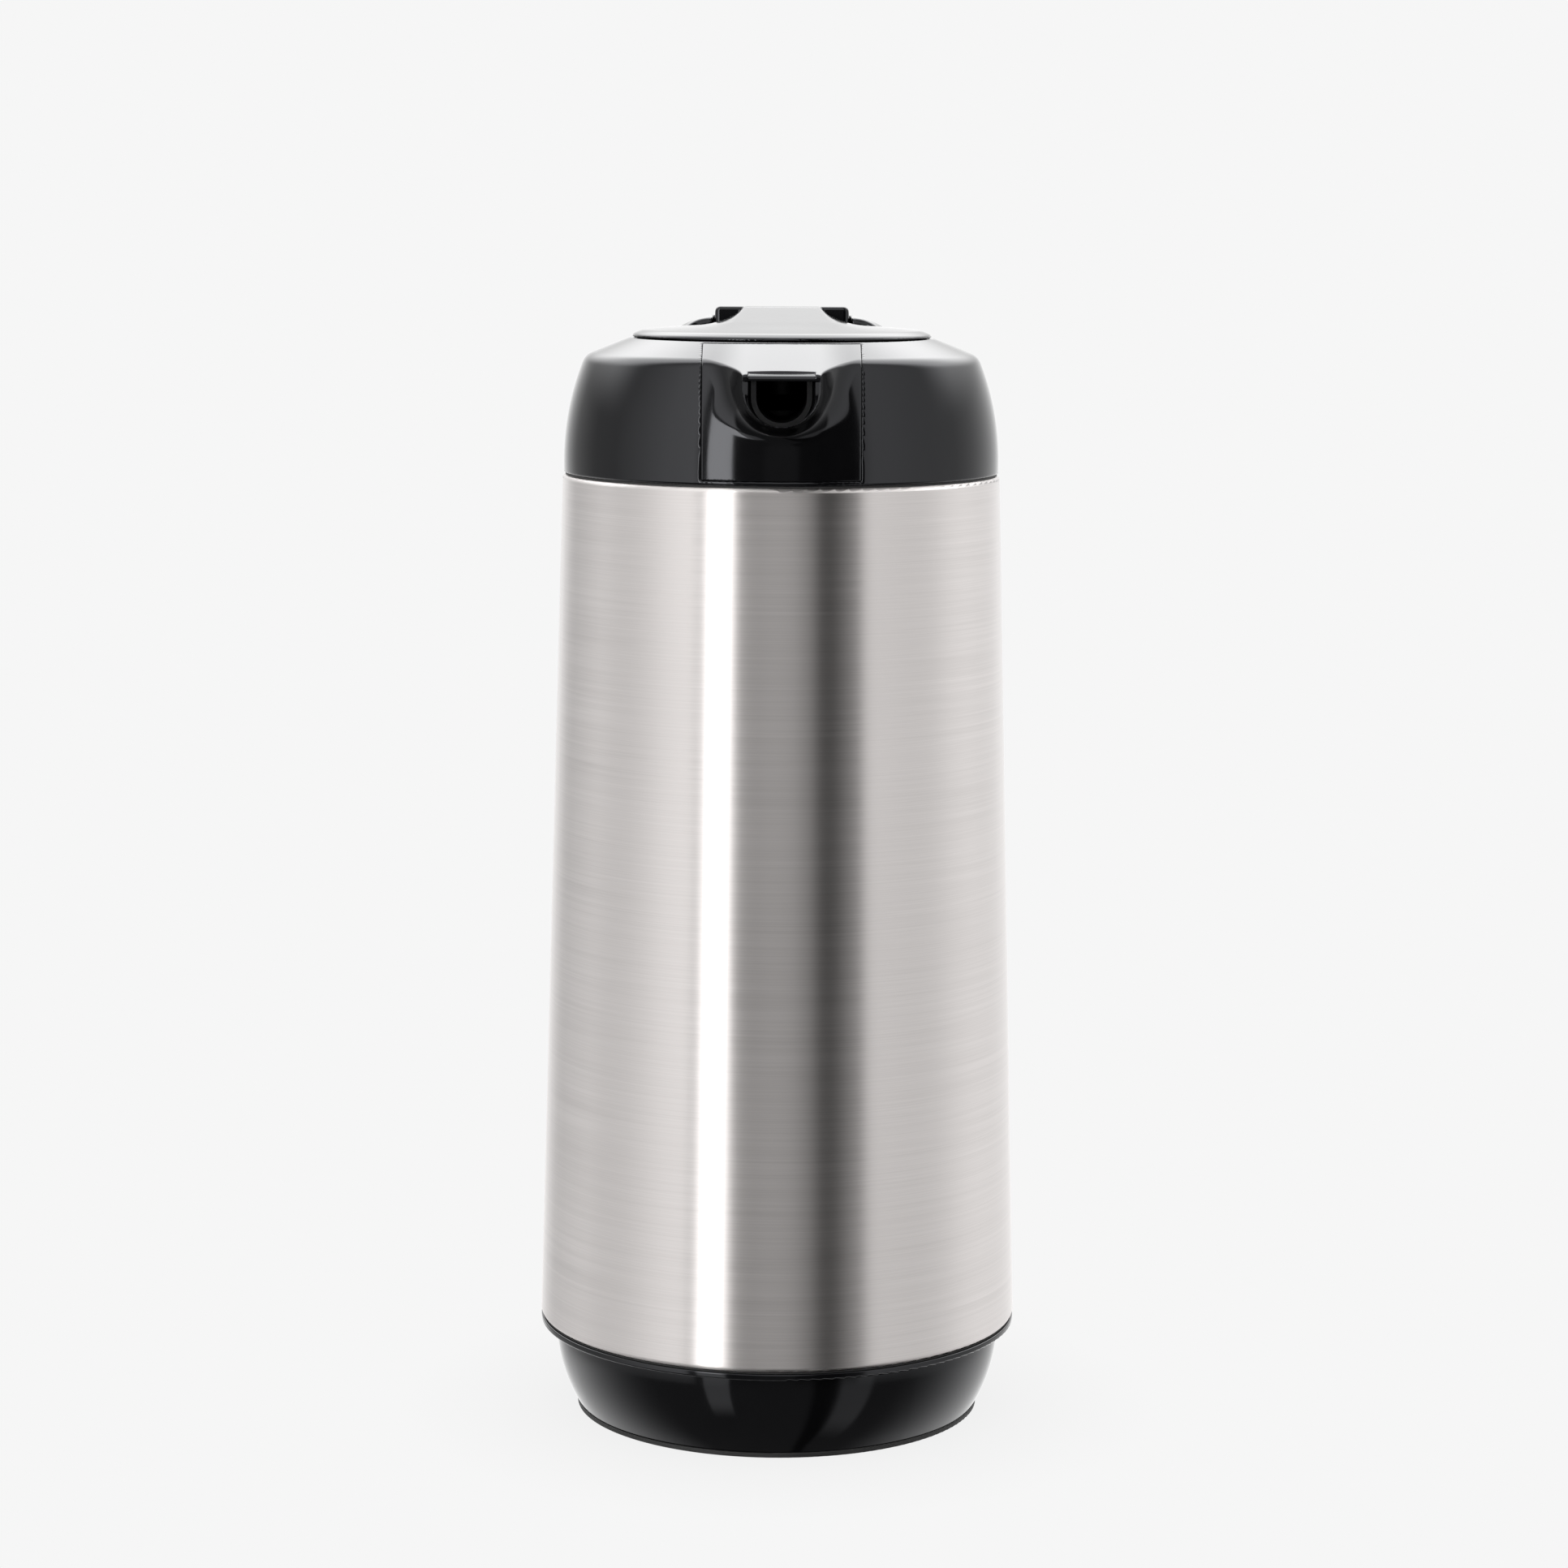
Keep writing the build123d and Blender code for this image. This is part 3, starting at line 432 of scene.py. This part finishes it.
def u_distance(x, z, half, centre, top):
    """Distance outside a U that is round below, straight at the sides and flat on top."""
    around = np.where(z < centre, np.hypot(x, z - centre), np.abs(x)) - half
    return np.maximum(around, z - top)


def collar_skin(x, y, z):
    """The outer skin of the collar and the spout together, without the parting seams."""
    radius = np.hypot(x, y)
    across = np.abs(x)
    slope = SPOUT_SLOPE + (SHOULDER_SLOPE - SPOUT_SLOPE) * ease(across, *SLOPE_EASE)
    slope = np.where(y < 0, slope, SHOULDER_SLOPE)
    top = z - (MOUTH_HEIGHT - slope * (radius - MOUTH_RADIUS))
    wall = radius - side_wall(z)

    # The trumpet flares from the wall to the rim of the spout's mouth, and is stretched on its lower side
    away = u_distance(x, z, SPOUT_HALF, SPOUT_CENTRE, math.inf)
    lower = ease(SPOUT_CENTRE - z, 0.0, FLARE_LOWER_EASE)
    away = np.maximum(away, 0.0) / (1 + FLARE_LOWER * lower)
    flare = -y - (SPOUT_TIP - FLARE_FALL * away**FLARE_POWER)
    flare = np.where((away < FLARE_REACH) & (y < FLARE_BACK), flare, OUTSIDE)
    wall = union(wall, flare, FLARE_FILLET)
    edge = np.where(y < 0, SPOUT_TOP_EDGE + ease(across, TOP_EDGE_START, SEAM), SHOULDER_EDGE)
    return cut_off(wall, top, edge)


def spout_field(x, y, z):
    """The spout piece: a shell with a bevelled mouth, a bore and a ledge along the upper lip."""
    radius = np.hypot(x, y)
    across = np.abs(x)
    body = collar_skin(x, y, z)
    roof = MOUTH_HEIGHT - SPOUT_SLOPE * (radius - MOUTH_RADIUS) - SPOUT_ROOF
    roof = roof - SPOUT_ROOF_EXTRA * ease(across, *SLOPE_EASE)
    body = cut_off(body, -common(radius - side_wall(z) + SPOUT_WALL, z - roof), EDGE)

    # Mouth: a bevelled recess, then the bore that the funnel's tube passes through
    opening = np.clip((-y - SPOUT_TIP + BEVEL_DEPTH) / BEVEL_DEPTH, 0.0, BEVEL_END)
    half = BORE_HALF + opening * (SPOUT_HALF - SPOUT_RIM - BORE_HALF)
    centre = BORE_CENTRE + opening * (SPOUT_CENTRE - BORE_CENTRE)
    body = cut_off(body, -u_distance(x, z, half, centre, BORE_TOP), EDGE)

    # Sloping ledge along the upper lip, with a rounded front edge
    ledge = cut_off(z - LEDGE_TOP - LEDGE_SLOPE * (y + SPOUT_TIP), -y - SPOUT_TIP, LEDGE_EDGE)
    step = common(-ledge, SPOUT_TIP - LEDGE_DEPTH + y, across - LEDGE_HALF)
    body = cut_off(body, -step, CRISP_EDGE)

    # Back, sides and lower end
    body = cut_off(body, SPOUT_BACK - radius, CRISP_EDGE)
    body = cut_off(body, across - SEAM + SEAM_GAP, SEAM_EDGE)
    return cut_off(body, COLLAR_LOW + LIP - z, CRISP_EDGE)


def collar_field(x, y, z):
    """The collar: bowed wall, mouth ring, hinge housing and spigot, with space for the spout piece."""
    radius = np.hypot(x, y)
    across = np.abs(x)
    side = radius - side_wall(z)
    body = collar_skin(x, y, z)

    # Hinge housing: it runs into the wall with a wide fillet and its top falls away to the sides and the lid
    hump = union(side, across - HUMP_HALF, HUMP_FILLET)
    fall = sum(depth * ease(across, start, end) for depth, start, end in HUMP_FALLS)
    fall = fall + FRONT_FALL * (1 - ease(y, *FRONT_FALL_Y)) * ease(across, *FRONT_FALL_EASE)
    hump = cut_off(hump, z - HUMP_TOP + fall, HUMP_TOP_EDGE)
    hump = cut_off(hump, y - HUMP_BACK, HUMP_BACK_EDGE)
    hump = cut_off(hump, HUMP_FRONT - HUMP_FRONT_FALL * ease(across, *HUMP_FRONT_EASE) - y, HUMP_FRONT_EDGE)
    hump = cut_off(hump, HUMP_FLOOR - z, HUMP_FLOOR_EDGE)
    body = union(body, hump, HUMP_JOIN_FILLET)

    # Inside: a hollow wall, the bore of the mouth and, below, a plate and a spigot
    roof = MOUTH_HEIGHT - COLLAR_ROOF - SHOULDER_SLOPE * (radius - MOUTH_RADIUS)
    body = cut_off(body, -common(side + COLLAR_WALL, z - roof), EDGE)
    height = z - COLLAR_LOW
    plate = common(within(height, PLATE_THICK / 2, PLATE_THICK / 2), PLATE_RADIUS - radius, side + PLATE_INSET)
    spigot = common(within(radius, *SPIGOT_WALL), within(height, *SPIGOT_HEIGHT))
    body = cut_off(body, COLLAR_LOW - z, COLLAR_LOW_EDGE)
    body = np.minimum(np.minimum(body, plate), spigot)
    body = cut_off(body, MOUTH_INSIDE - radius, EDGE)
    body = cut_off(body, -common(LID_SEAT - z, radius - MOUTH_RADIUS - LID_SEAT_GAP), LID_SEAT_EDGE)

    # Pocket that the thumb block swings into, with the holes of its screws and of the hinge pin
    swing = np.hypot(y - PIN_Y, z - PIN_HEIGHT)
    block_room = np.minimum(common(swing - POCKET_RADIUS, PIN_Y - y), swing - BARREL_ROOM)
    room_above = common(PIN_HEIGHT - z, between(y - PIN_Y, -BARREL_ROOM, POCKET_RADIUS))
    pocket = common(np.minimum(block_room, room_above), across - POCKET_HALF)
    body = cut_off(body, -pocket, POCKET_EDGE)
    around_screw = np.hypot(across - SCREW_X, z - SCREW_HEIGHT)
    well = common(around_screw - SCREW_WELL, between(y, *SCREW_WELL_Y))
    hole = common(around_screw - SCREW_HOLE, SCREW_WELL_Y[0] - y)
    pin_hole = common(swing - PIN_HOLE, between(x, *PIN_HOLE_ENDS))
    body = common(body, -well, -hole, -pin_hole)

    # Space for the spout piece
    gap = common(across - SEAM, y, SPOUT_BACK - SPOUT_BACK_GAP - radius, COLLAR_LOW + LIP - SEAM_GAP - z)
    return cut_off(body, -gap, SEAM_EDGE)


formed("spout", spout_field, low=(-23, -70.5, 276), high=(23, -38, 315), step=0.27)
formed("collar", collar_field, low=(-64.2, -64.2, 271), high=(64.2, 74.2, 320.3), step=0.5)


# --- Lid cover ----------------------------------------------------------------------------------------------
# Domed disc with a ring below its edge
LID_RADIUS, LID_LOW, LID_TOP, LID_EDGE = 43.0, 314.9, 318.5, 1.0
DOME_FALL, RIM_FALL, RIM_EASE, TOP_STEEPNESS = 0.00103, 1.0, (39.5, 44.0), 0.92
LID_HOLLOW, LID_ROOF = 39.4, 2.6
RING_RADII, RING_HEIGHTS = (39.2, 41.6), (311.8, 315.4)
# Ramp that rises from the disc to the thumb block: a level middle that narrows backwards, and concave flanks
RAMP_FRONT, RAMP_FRONT_TOP, RAMP_TOP, RAMP_END_FALL, RAMP_EASE = -20.0, 318.2, 322.4, 0.026, (-34.0, -6.0)
RAMP_HALF, RAMP_HALF_EXTRA, FLANK_WIDTH, FLANK_POWER = 11.3, 3.5, 12.5, 2.1
RAMP_SOFT, FLANK_SOFT = 0.25, 0.04
BRIDGE_Y, BRIDGE_MARGIN = (40.0, 46.0), 1.5
# Thumb block, its barrel on the hinge pin and the room for the spring
BLOCK_HALF, BLOCK_FRONT, BLOCK_LENGTH, BLOCK_FALL = 20.0, 43.4, 23.2, 0.6
BLOCK_BACK_FOOT, BLOCK_HEEL = 317.0, (319.8, 4.0, 315.2)
BLOCK_TOP_EDGE, BLOCK_BACK_EDGE, BLOCK_SIDE_EDGE = 1.2, 1.4, 1.9
BARREL_RADIUS, BARREL_EDGE, BARREL_FILLET, PIN_BORE = 4.6, 0.8, 0.4, 1.57
SPRING_ROOM, SPRING_X = 5.0, (7.0, 15.0)


def softly_positive(value, soft):
    """The value where it is above 0 and about 0 below, with a rounded corner."""
    return 0.5 * (value + np.sqrt(value**2 + soft**2))


def lid_field(x, y, z):
    """The lid's cover: disc, ramp, thumb block and barrel, hollow from below."""
    radius = np.hypot(x, y)
    across = np.abs(x)
    dome = LID_TOP - DOME_FALL * radius**2 - RIM_FALL * ease(radius, *RIM_EASE)
    share = np.minimum((y - RAMP_FRONT) / (BLOCK_FRONT - RAMP_FRONT), 1.0)
    ramp = RAMP_FRONT_TOP + share * (RAMP_TOP - RAMP_FRONT_TOP)
    ramp = ramp - RAMP_END_FALL * np.maximum(y - BLOCK_FRONT, 0.0)
    level_half = RAMP_HALF + RAMP_HALF_EXTRA * (1 - share)
    beyond = softly_positive((across - level_half) / FLANK_WIDTH, FLANK_SOFT)
    rise = softly_positive(ramp - dome, RAMP_SOFT)
    rise = rise * np.maximum(1 - beyond, 0.0) ** FLANK_POWER * ease(y, *RAMP_EASE)
    top = dome + rise
    disc = cut_off(radius - LID_RADIUS, TOP_STEEPNESS * (z - top), LID_EDGE)
    disc = cut_off(disc, LID_LOW - z, EDGE)
    shell = cut_off(disc, -common(radius - LID_HOLLOW, z - dome + LID_ROOF), EDGE)
    shell = union(shell, common(between(radius, *RING_RADII), between(z, *RING_HEIGHTS)), EDGE)
    bridge = common(across - level_half - BRIDGE_MARGIN, z - top, between(y, *BRIDGE_Y), LID_LOW - z)
    shell = union(shell, bridge, EDGE)

    def beyond_line(y0, z0, y1, z1):
        """Distance to the left of a line between two points, seen with Y to the right and Z up."""
        length = math.hypot(y1 - y0, z1 - z0)
        return ((y - y0) * (z0 - z1) + (z - z0) * (y1 - y0)) / length

    back, back_top = BLOCK_FRONT + BLOCK_LENGTH, RAMP_TOP - BLOCK_FALL
    heel_top, heel_reach, heel_low = BLOCK_HEEL
    block = cut_off(BLOCK_FRONT - y, beyond_line(BLOCK_FRONT, RAMP_TOP, back, back_top), BLOCK_TOP_EDGE)
    block = cut_off(block, beyond_line(back, back_top, back + 0.01, BLOCK_BACK_FOOT), BLOCK_BACK_EDGE)
    block = cut_off(block, beyond_line(back, heel_top, PIN_Y + heel_reach, heel_low), BLOCK_BACK_EDGE)
    block = cut_off(block, across - BLOCK_HALF, BLOCK_SIDE_EDGE)
    block = cut_off(block, PIN_HEIGHT - z, EDGE)
    from_pin = np.hypot(y - PIN_Y, z - PIN_HEIGHT)
    barrel = cut_off(from_pin - BARREL_RADIUS, across - BLOCK_HALF, BARREL_EDGE)
    block = union(block, barrel, BARREL_FILLET)
    whole = union(shell, block, EDGE)
    whole = cut_off(whole, -common(from_pin - SPRING_ROOM, between(x, *SPRING_X)), EDGE)
    return cut_off(whole, PIN_BORE - from_pin, EDGE)


formed("lid_cover", lid_field, low=(-44, -44, 307.5), high=(44, 67.5, 324), step=0.35)


# --- Handle and its cover -----------------------------------------------------------------------------------
# Stations along the middle of the handle: Y, Z, width, thickness and squareness of the section
HANDLE_STATIONS = np.array([
    (73.1, 303.4, 47.4, 29.4, 7.0),
    (79.0, 303.3, 42.6, 27.6, 5.2),
    (88.0, 301.9, 36.6, 24.6, 3.8),
    (99.0, 296.8, 32.0, 21.6, 3.2),
    (108.6, 284.4, 29.2, 19.6, 3.0),
    (113.0, 262.0, 28.0, 19.0, 3.0),
    (112.5, 215.0, 28.0, 19.0, 3.0),
    (107.5, 165.0, 28.0, 19.0, 3.0),
    (101.6, 139.5, 28.2, 19.6, 3.0),
    (93.5, 127.0, 28.8, 20.8, 3.1),
    (81.0, 120.4, 30.0, 23.6, 3.4),
    (66.0, 118.6, 32.0, 27.0, 4.0),
])
HANDLE_RINGS, ARC_POINTS, LINE_POINTS = 400, 72, 24
# The cover runs between two places along the handle and meets it this far inside the middle line. Elsewhere the
# handle keeps nearly all of its inner half.
COVER_ENDS, COVER_END_GAP, COVER_EASE = (36.0, 184.0), 0.7, 0.8
PARTING, PARTING_GAP, UNPARTED = 4.5, 0.12, 0.985
# Heights of the cover's screws and Y of the floors of their wells
COVER_SCREWS = ((268.0, 106.2), (162.0, 100.9))
COVER_WELL_RADIUS, COVER_WELL_DEPTH = 3.2, 12.0
# The steel body that the handle's foot stands on: heights and radii of its ends, and the gap that is left
SHELL_HEIGHTS, SHELL_RADII, SHELL_GAP = (28.0, 275.5), (70.0, 63.0), 0.1
# Rings wholly in front of FOOT_START lie at the steel body, unless they belong to the handle's upper end
FOOT_START, UPPER_END = 76.0, 200.0


def smooth_rows(rows, count):
    """Rows of numbers on a natural cubic spline through the given rows, evenly spaced along it."""
    length = np.concatenate([[0], np.cumsum(np.hypot(*np.diff(rows[:, :2], axis=0).T))])
    gap = np.diff(length)[:, None]
    size = len(rows)
    matrix = np.eye(size)
    bend = np.zeros_like(rows)
    for k in range(1, size - 1):
        matrix[k, k - 1 : k + 2] = gap[k - 1, 0], 2 * (gap[k - 1, 0] + gap[k, 0]), gap[k, 0]
        bend[k] = 6 * ((rows[k + 1] - rows[k]) / gap[k] - (rows[k] - rows[k - 1]) / gap[k - 1])
    bend = np.linalg.solve(matrix, bend)
    place = np.linspace(0, length[-1], count)
    k = np.clip(np.searchsorted(length, place) - 1, 0, size - 2)
    a, b = (length[k + 1] - place)[:, None], (place - length[k])[:, None]
    gap = gap[k]
    curve = (a**3 * bend[k] + b**3 * bend[k + 1]) / (6 * gap)
    curve += (rows[k] / gap - bend[k] * gap / 6) * a + (rows[k + 1] / gap - bend[k + 1] * gap / 6) * b
    return place, curve


def squarish(half_width, half_thickness, power, count=720):
    """Points of a rounded section, from its hand side round: X across and N outwards, away from the hand."""
    angle = np.linspace(0, 2 * math.pi, count, endpoint=False) - math.pi / 2
    x, n = np.cos(angle), np.sin(angle)
    scale = (np.abs(x) ** power + np.abs(n) ** power) ** (-1 / power)
    return half_width * x * scale, half_thickness * n * scale


def resampled(points, count):
    """An open run of points spaced evenly along its length."""
    length = np.concatenate([[0], np.cumsum(np.hypot(*np.diff(points, axis=0).T))])
    place = np.linspace(0, length[-1], count)
    return np.stack([np.interp(place, length, points[:, c]) for c in range(2)], axis=1)


def handle_section(place, width, thickness, power, outer):
    """The part of the handle's section on the outer or the inner side of the parting line."""
    start, end = COVER_ENDS
    parted = ease(place, start, start + COVER_EASE) * ease(-place, -end, COVER_EASE - end)
    half = thickness / 2
    parting = -UNPARTED * half + (UNPARTED * half - PARTING) * parted
    x, n = squarish(width / 2, half, power)
    if outer:
        kept = n > parting
    else:
        x, n = np.roll(x, len(x) // 2), np.roll(n, len(n) // 2)
        kept = n < parting - PARTING_GAP
    arc = resampled(np.stack([x[kept], n[kept]], axis=1), ARC_POINTS)
    line = np.linspace(arc[-1], arc[0], LINE_POINTS)[1:-1]
    return np.concatenate([arc, line])


def stand_on_body(rings):
    """Lays the last ring on the steel body and drops the rings just before it."""
    foot = rings[-1]
    low, high = SHELL_HEIGHTS
    low_radius, high_radius = SHELL_RADII
    radius = low_radius + (high_radius - low_radius) * (foot[:, 2] - low) / (high - low) + SHELL_GAP
    foot[:, 1] = np.sqrt(radius**2 - foot[:, 0] ** 2)
    clear = [ring for ring in rings[:-1] if ring[:, 1].max() >= FOOT_START or ring[:, 2].min() > UPPER_END]
    return clear + [foot]


def swept_mesh(name, rings):
    """A closed mesh over rings of points, with a fan over each end."""
    size = len(rings[0])
    vertices = np.concatenate(rings) * MM
    mesh = bmesh.new()
    corners = [mesh.verts.new(v) for v in vertices]
    for ring in range(len(rings) - 1):
        for k in range(size):
            a, b = ring * size + k, ring * size + (k + 1) % size
            mesh.faces.new([corners[i] for i in (a, b, b + size, a + size)])
    for ring in (0, len(rings) - 1):
        middle = mesh.verts.new(vertices[ring * size : (ring + 1) * size].mean(axis=0))
        for k in range(size):
            mesh.faces.new([middle, corners[ring * size + k], corners[ring * size + (k + 1) % size]])
    bmesh.ops.recalc_face_normals(mesh, faces=mesh.faces)
    data = bpy.data.meshes.new(name + "_visual")
    mesh.to_mesh(data)
    mesh.free()
    return data


def handle_piece(name, outer, first=0.0, last=math.inf):
    """Sweeps the outer or the inner part of the handle's section between two places along the handle."""
    places, rows = smooth_rows(HANDLE_STATIONS, HANDLE_RINGS)
    along = np.gradient(rows[:, :2], places, axis=0)
    along /= np.hypot(*along.T)[:, None]
    rings = []
    for place, (y, z, width, thickness, power), (along_y, along_z) in zip(places, rows, along):
        if first <= place <= last:
            x, n = handle_section(place, width, thickness, power, outer).T
            # N points to the left of the handle's direction, seen with Y to the right and Z up
            rings.append(np.stack([x, y - n * along_z, z + n * along_y], axis=1))
    return shown_for(name, swept_mesh(name, stand_on_body(rings) if outer else rings))


def screw_wells(piece):
    """Cuts the wells of the cover's screws with a boolean."""
    for height, floor in COVER_SCREWS:
        mesh = bmesh.new()
        place = Matrix.Translation((0, (floor - COVER_WELL_DEPTH / 2) * MM, height * MM))
        bmesh.ops.create_cone(
            mesh, cap_ends=True, segments=64, radius1=COVER_WELL_RADIUS * MM, radius2=COVER_WELL_RADIUS * MM,
            depth=COVER_WELL_DEPTH * MM, matrix=place @ Matrix.Rotation(math.pi / 2, 4, "X"),
        )
        data = bpy.data.meshes.new("well")
        mesh.to_mesh(data)
        mesh.free()
        cutter = bpy.data.objects.new("well", data)
        bpy.context.scene.collection.objects.link(cutter)
        cut = piece.modifiers.new("well", "BOOLEAN")
        cut.operation = "DIFFERENCE"
        cut.solver = "EXACT"
        cut.object = cutter
        bpy.context.view_layer.update()
        result = bpy.data.meshes.new_from_object(piece.evaluated_get(bpy.context.evaluated_depsgraph_get()))
        piece.modifiers.clear()
        piece.data = result
        bpy.data.objects.remove(cutter)
    piece.data.set_sharp_from_angle(angle=CUT_SHARP)


handle_piece("handle", outer=True)
screw_wells(handle_piece(
    "handle_cover", outer=False, first=COVER_ENDS[0] + COVER_END_GAP, last=COVER_ENDS[1] - COVER_END_GAP,
))


# --- Studio -------------------------------------------------------------------------------------------------
BACKDROP = 0.922
# Brightness of the walls at each azimuth from the camera side, to the right, in degrees
WALL_LIGHT = (
    (-180, 1.20), (-160, 1.12), (-138, 0.53), (-115, 0.42), (-97, 0.56), (-80, 1.06), (-62, 1.65), (-46, 1.90),
    (-43, 1.30), (-42.4, 0.35), (-38.6, 0.35), (-38.4, 1.0), (-24.8, 1.0), (-24.4, 0.12), (-10, 0.10),
    (-8, 0.17), (8, 0.17), (10, 0.04), (38, 0.03), (42, 0.10), (43.5, 1.1), (50, 1.35), (62, 1.25),
    (85, 0.95), (105, 0.72), (120, 0.78), (160, 1.15), (180, 1.20),
)
# The colour ramp holds values up to 1, so the brightness goes through it divided by this
RAMP_SCALE = 2.0
# Each light: brightness, then the low end, high end and softness of its azimuth and of its elevation
STRIP = (5.5, (-38.4, -25.8, 0.5), (-7.0, 34.0, 2.0))
STRIP_IN_TABLE = (0.8, (-38.4, -24.8, 0.5), (-34.0, -17.0, 14.0))
CEILING = (1.2, (-20.0, 17.0, 4.0), (20.0, 95.0, 10.0))
TABLE_SIDE = (0.45, (36.0, 50.0, 4.0), (-45.0, 0.0, 20.0))
# The same for lights behind the object, with the azimuth taken without its sign
OVERHEAD = (3.6, (120.0, 185.0, 30.0), (36.0, 95.0, 28.0))
# Light from the table, which lies below the walls: a little all round, more from behind, less at one azimuth
TABLE_BEHIND, TABLE_BEHIND_AZIMUTH, TABLE_LEAST = 1.1, (135.0, 185.0, 70.0), 0.15
TABLE_SHADE, TABLE_SHADE_AZIMUTH = 0.9, (22.0, 30.0, 5.0)
ABOVE_TABLE = (-14.0, 95.0, 10.0)


def studio_world():
    """A studio drawn by direction: white walls, a dark camera side, one strip light and an overhead light."""
    world = bpy.data.worlds.new("studio")
    bpy.context.scene.world = world
    world.use_nodes = True
    tree = world.node_tree
    tree.nodes.clear()

    def add(kind, **settings):
        node = tree.nodes.new(kind)
        for key, value in settings.items():
            setattr(node, key, value)
        return node

    def math_node(operation, *values):
        node = add("ShaderNodeMath", operation=operation)
        for socket, value in zip(node.inputs, values):
            if isinstance(value, bpy.types.NodeSocket):
                tree.links.new(value, socket)
            else:
                socket.default_value = value
        return node.outputs[0]

    def times(*values):
        return reduce(lambda first, second: math_node("MULTIPLY", first, second), values)

    def plus(*values):
        return reduce(lambda first, second: math_node("ADD", first, second), values)

    def ramp(value, stops):
        node = add("ShaderNodeValToRGB")
        node.color_ramp.interpolation = "LINEAR"
        elements = node.color_ramp.elements
        while len(elements) < len(stops):
            elements.new(0.5)
        for element, (position, level) in zip(elements, stops):
            element.position = position
            element.color = (level, level, level, 1.0)
        tree.links.new(value, node.inputs[0])
        return node.outputs[0]

    def band(value, low, high, soft):
        """1 between low and high, easing to 0 over soft on both sides."""
        rise = add("ShaderNodeMapRange", interpolation_type="SMOOTHSTEP")
        fall = add("ShaderNodeMapRange", interpolation_type="SMOOTHSTEP")
        for node, start, end in ((rise, low - soft, low), (fall, high + soft, high)):
            tree.links.new(value, node.inputs["Value"])
            node.inputs["From Min"].default_value = start
            node.inputs["From Max"].default_value = end
        return times(rise.outputs[0], fall.outputs[0])

    def patch(around, light):
        brightness, azimuths, elevations = light
        return times(brightness, band(around, *azimuths), band(elevation, *elevations))

    direction = add("ShaderNodeSeparateXYZ")
    tree.links.new(add("ShaderNodeTexCoord").outputs["Generated"], direction.inputs[0])
    x, y, z = direction.outputs
    azimuth = math_node("DEGREES", math_node("ARCTAN2", x, times(y, -1.0)))
    behind = math_node("ABSOLUTE", azimuth)
    elevation = math_node("DEGREES", math_node("ARCSINE", z))

    turn = math_node("DIVIDE", plus(azimuth, 180.0), 360.0)
    stops = [((degrees + 180) / 360, level / RAMP_SCALE) for degrees, level in WALL_LIGHT]
    walls = times(ramp(turn, stops), RAMP_SCALE)
    table = plus(TABLE_LEAST, times(TABLE_BEHIND, band(behind, *TABLE_BEHIND_AZIMUTH)))
    table = plus(table, patch(azimuth, TABLE_SIDE))
    shade = times(TABLE_SHADE, band(azimuth, *TABLE_SHADE_AZIMUTH))
    table = times(table, math_node("SUBTRACT", 1.0, shade))
    above_table = band(elevation, *ABOVE_TABLE)
    below_table = math_node("SUBTRACT", 1.0, above_table)
    light = plus(
        times(walls, above_table), times(table, below_table), patch(azimuth, STRIP),
        patch(azimuth, STRIP_IN_TABLE), patch(azimuth, CEILING), patch(behind, OVERHEAD),
    )

    # The camera sees an even pale backdrop in place of the studio
    choose = add("ShaderNodeMix", data_type="FLOAT")
    tree.links.new(add("ShaderNodeLightPath").outputs["Is Camera Ray"], choose.inputs["Factor"])
    tree.links.new(light, choose.inputs["A"])
    choose.inputs["B"].default_value = BACKDROP
    background = add("ShaderNodeBackground")
    tree.links.new(choose.outputs["Result"], background.inputs["Color"])
    output = add("ShaderNodeOutputWorld")
    tree.links.new(background.outputs[0], output.inputs["Surface"])


studio_world()


FLOOR_HALF, FLOOR_DROP = 40.0, 0.05 * MM
# Reach and darkest level of the painted shade round the foot
SHADE_REACH, SHADE_DARKEST = 0.05, 0.91


def pale_floor():
    """A wide pale floor that glows, with a faint painted shade round the foot. Only the camera sees it, not the
    object.
    """
    mesh = bpy.data.meshes.new("floor")
    corners = [(-1, -1), (1, -1), (1, 1), (-1, 1)]
    mesh.from_pydata([(FLOOR_HALF * x, FLOOR_HALF * y, 0) for x, y in corners], [], [(0, 1, 2, 3)])
    floor = bpy.data.objects.new("floor", mesh)
    bpy.context.scene.collection.objects.link(floor)
    m = Shader("floor")
    glow = m.add("ShaderNodeEmission")
    # Painted shade: ambient occlusion darkens the floor's glow near the object, standing in for its contact shadow
    shade = m.add("ShaderNodeAmbientOcclusion", samples=8)
    shade.inputs["Distance"].default_value = SHADE_REACH
    brightness = m.spread(shade.outputs["AO"], SHADE_DARKEST * BACKDROP, BACKDROP, 0.0, 1.0)
    m.link(brightness, glow.inputs["Color"])
    m.link(glow.outputs[0], m.output.inputs["Surface"])
    mesh.materials.append(m.material)
    floor.location.z = -FLOOR_DROP
    floor.visible_glossy = False
    floor.visible_diffuse = False


pale_floor()

# The main view, in metres and degrees: 1.16 m in front of the axis, looking 8.2 degrees down
CAMERA_PLACE, CAMERA_DOWN, CAMERA_ROLL = (0.0, -1.162, 0.3528), 8.22, 0.29
SENSOR_WIDTH, FOCAL_LENGTH, SHIFT_X = 36.0, 92.3, 0.0028


def add_camera():
    data = bpy.data.cameras.new("camera")
    data.sensor_width = SENSOR_WIDTH
    data.lens = FOCAL_LENGTH
    data.shift_x = SHIFT_X
    camera = bpy.data.objects.new("camera", data)
    bpy.context.scene.collection.objects.link(camera)
    camera.matrix_world = (
        Matrix.Translation(CAMERA_PLACE)
        @ Matrix.Rotation(math.radians(90 - CAMERA_DOWN), 4, "X")
        @ Matrix.Rotation(math.radians(CAMERA_ROLL), 4, "Z")
    )
    bpy.context.scene.camera = camera


add_camera()
bpy.context.scene.view_settings.view_transform = "Standard"
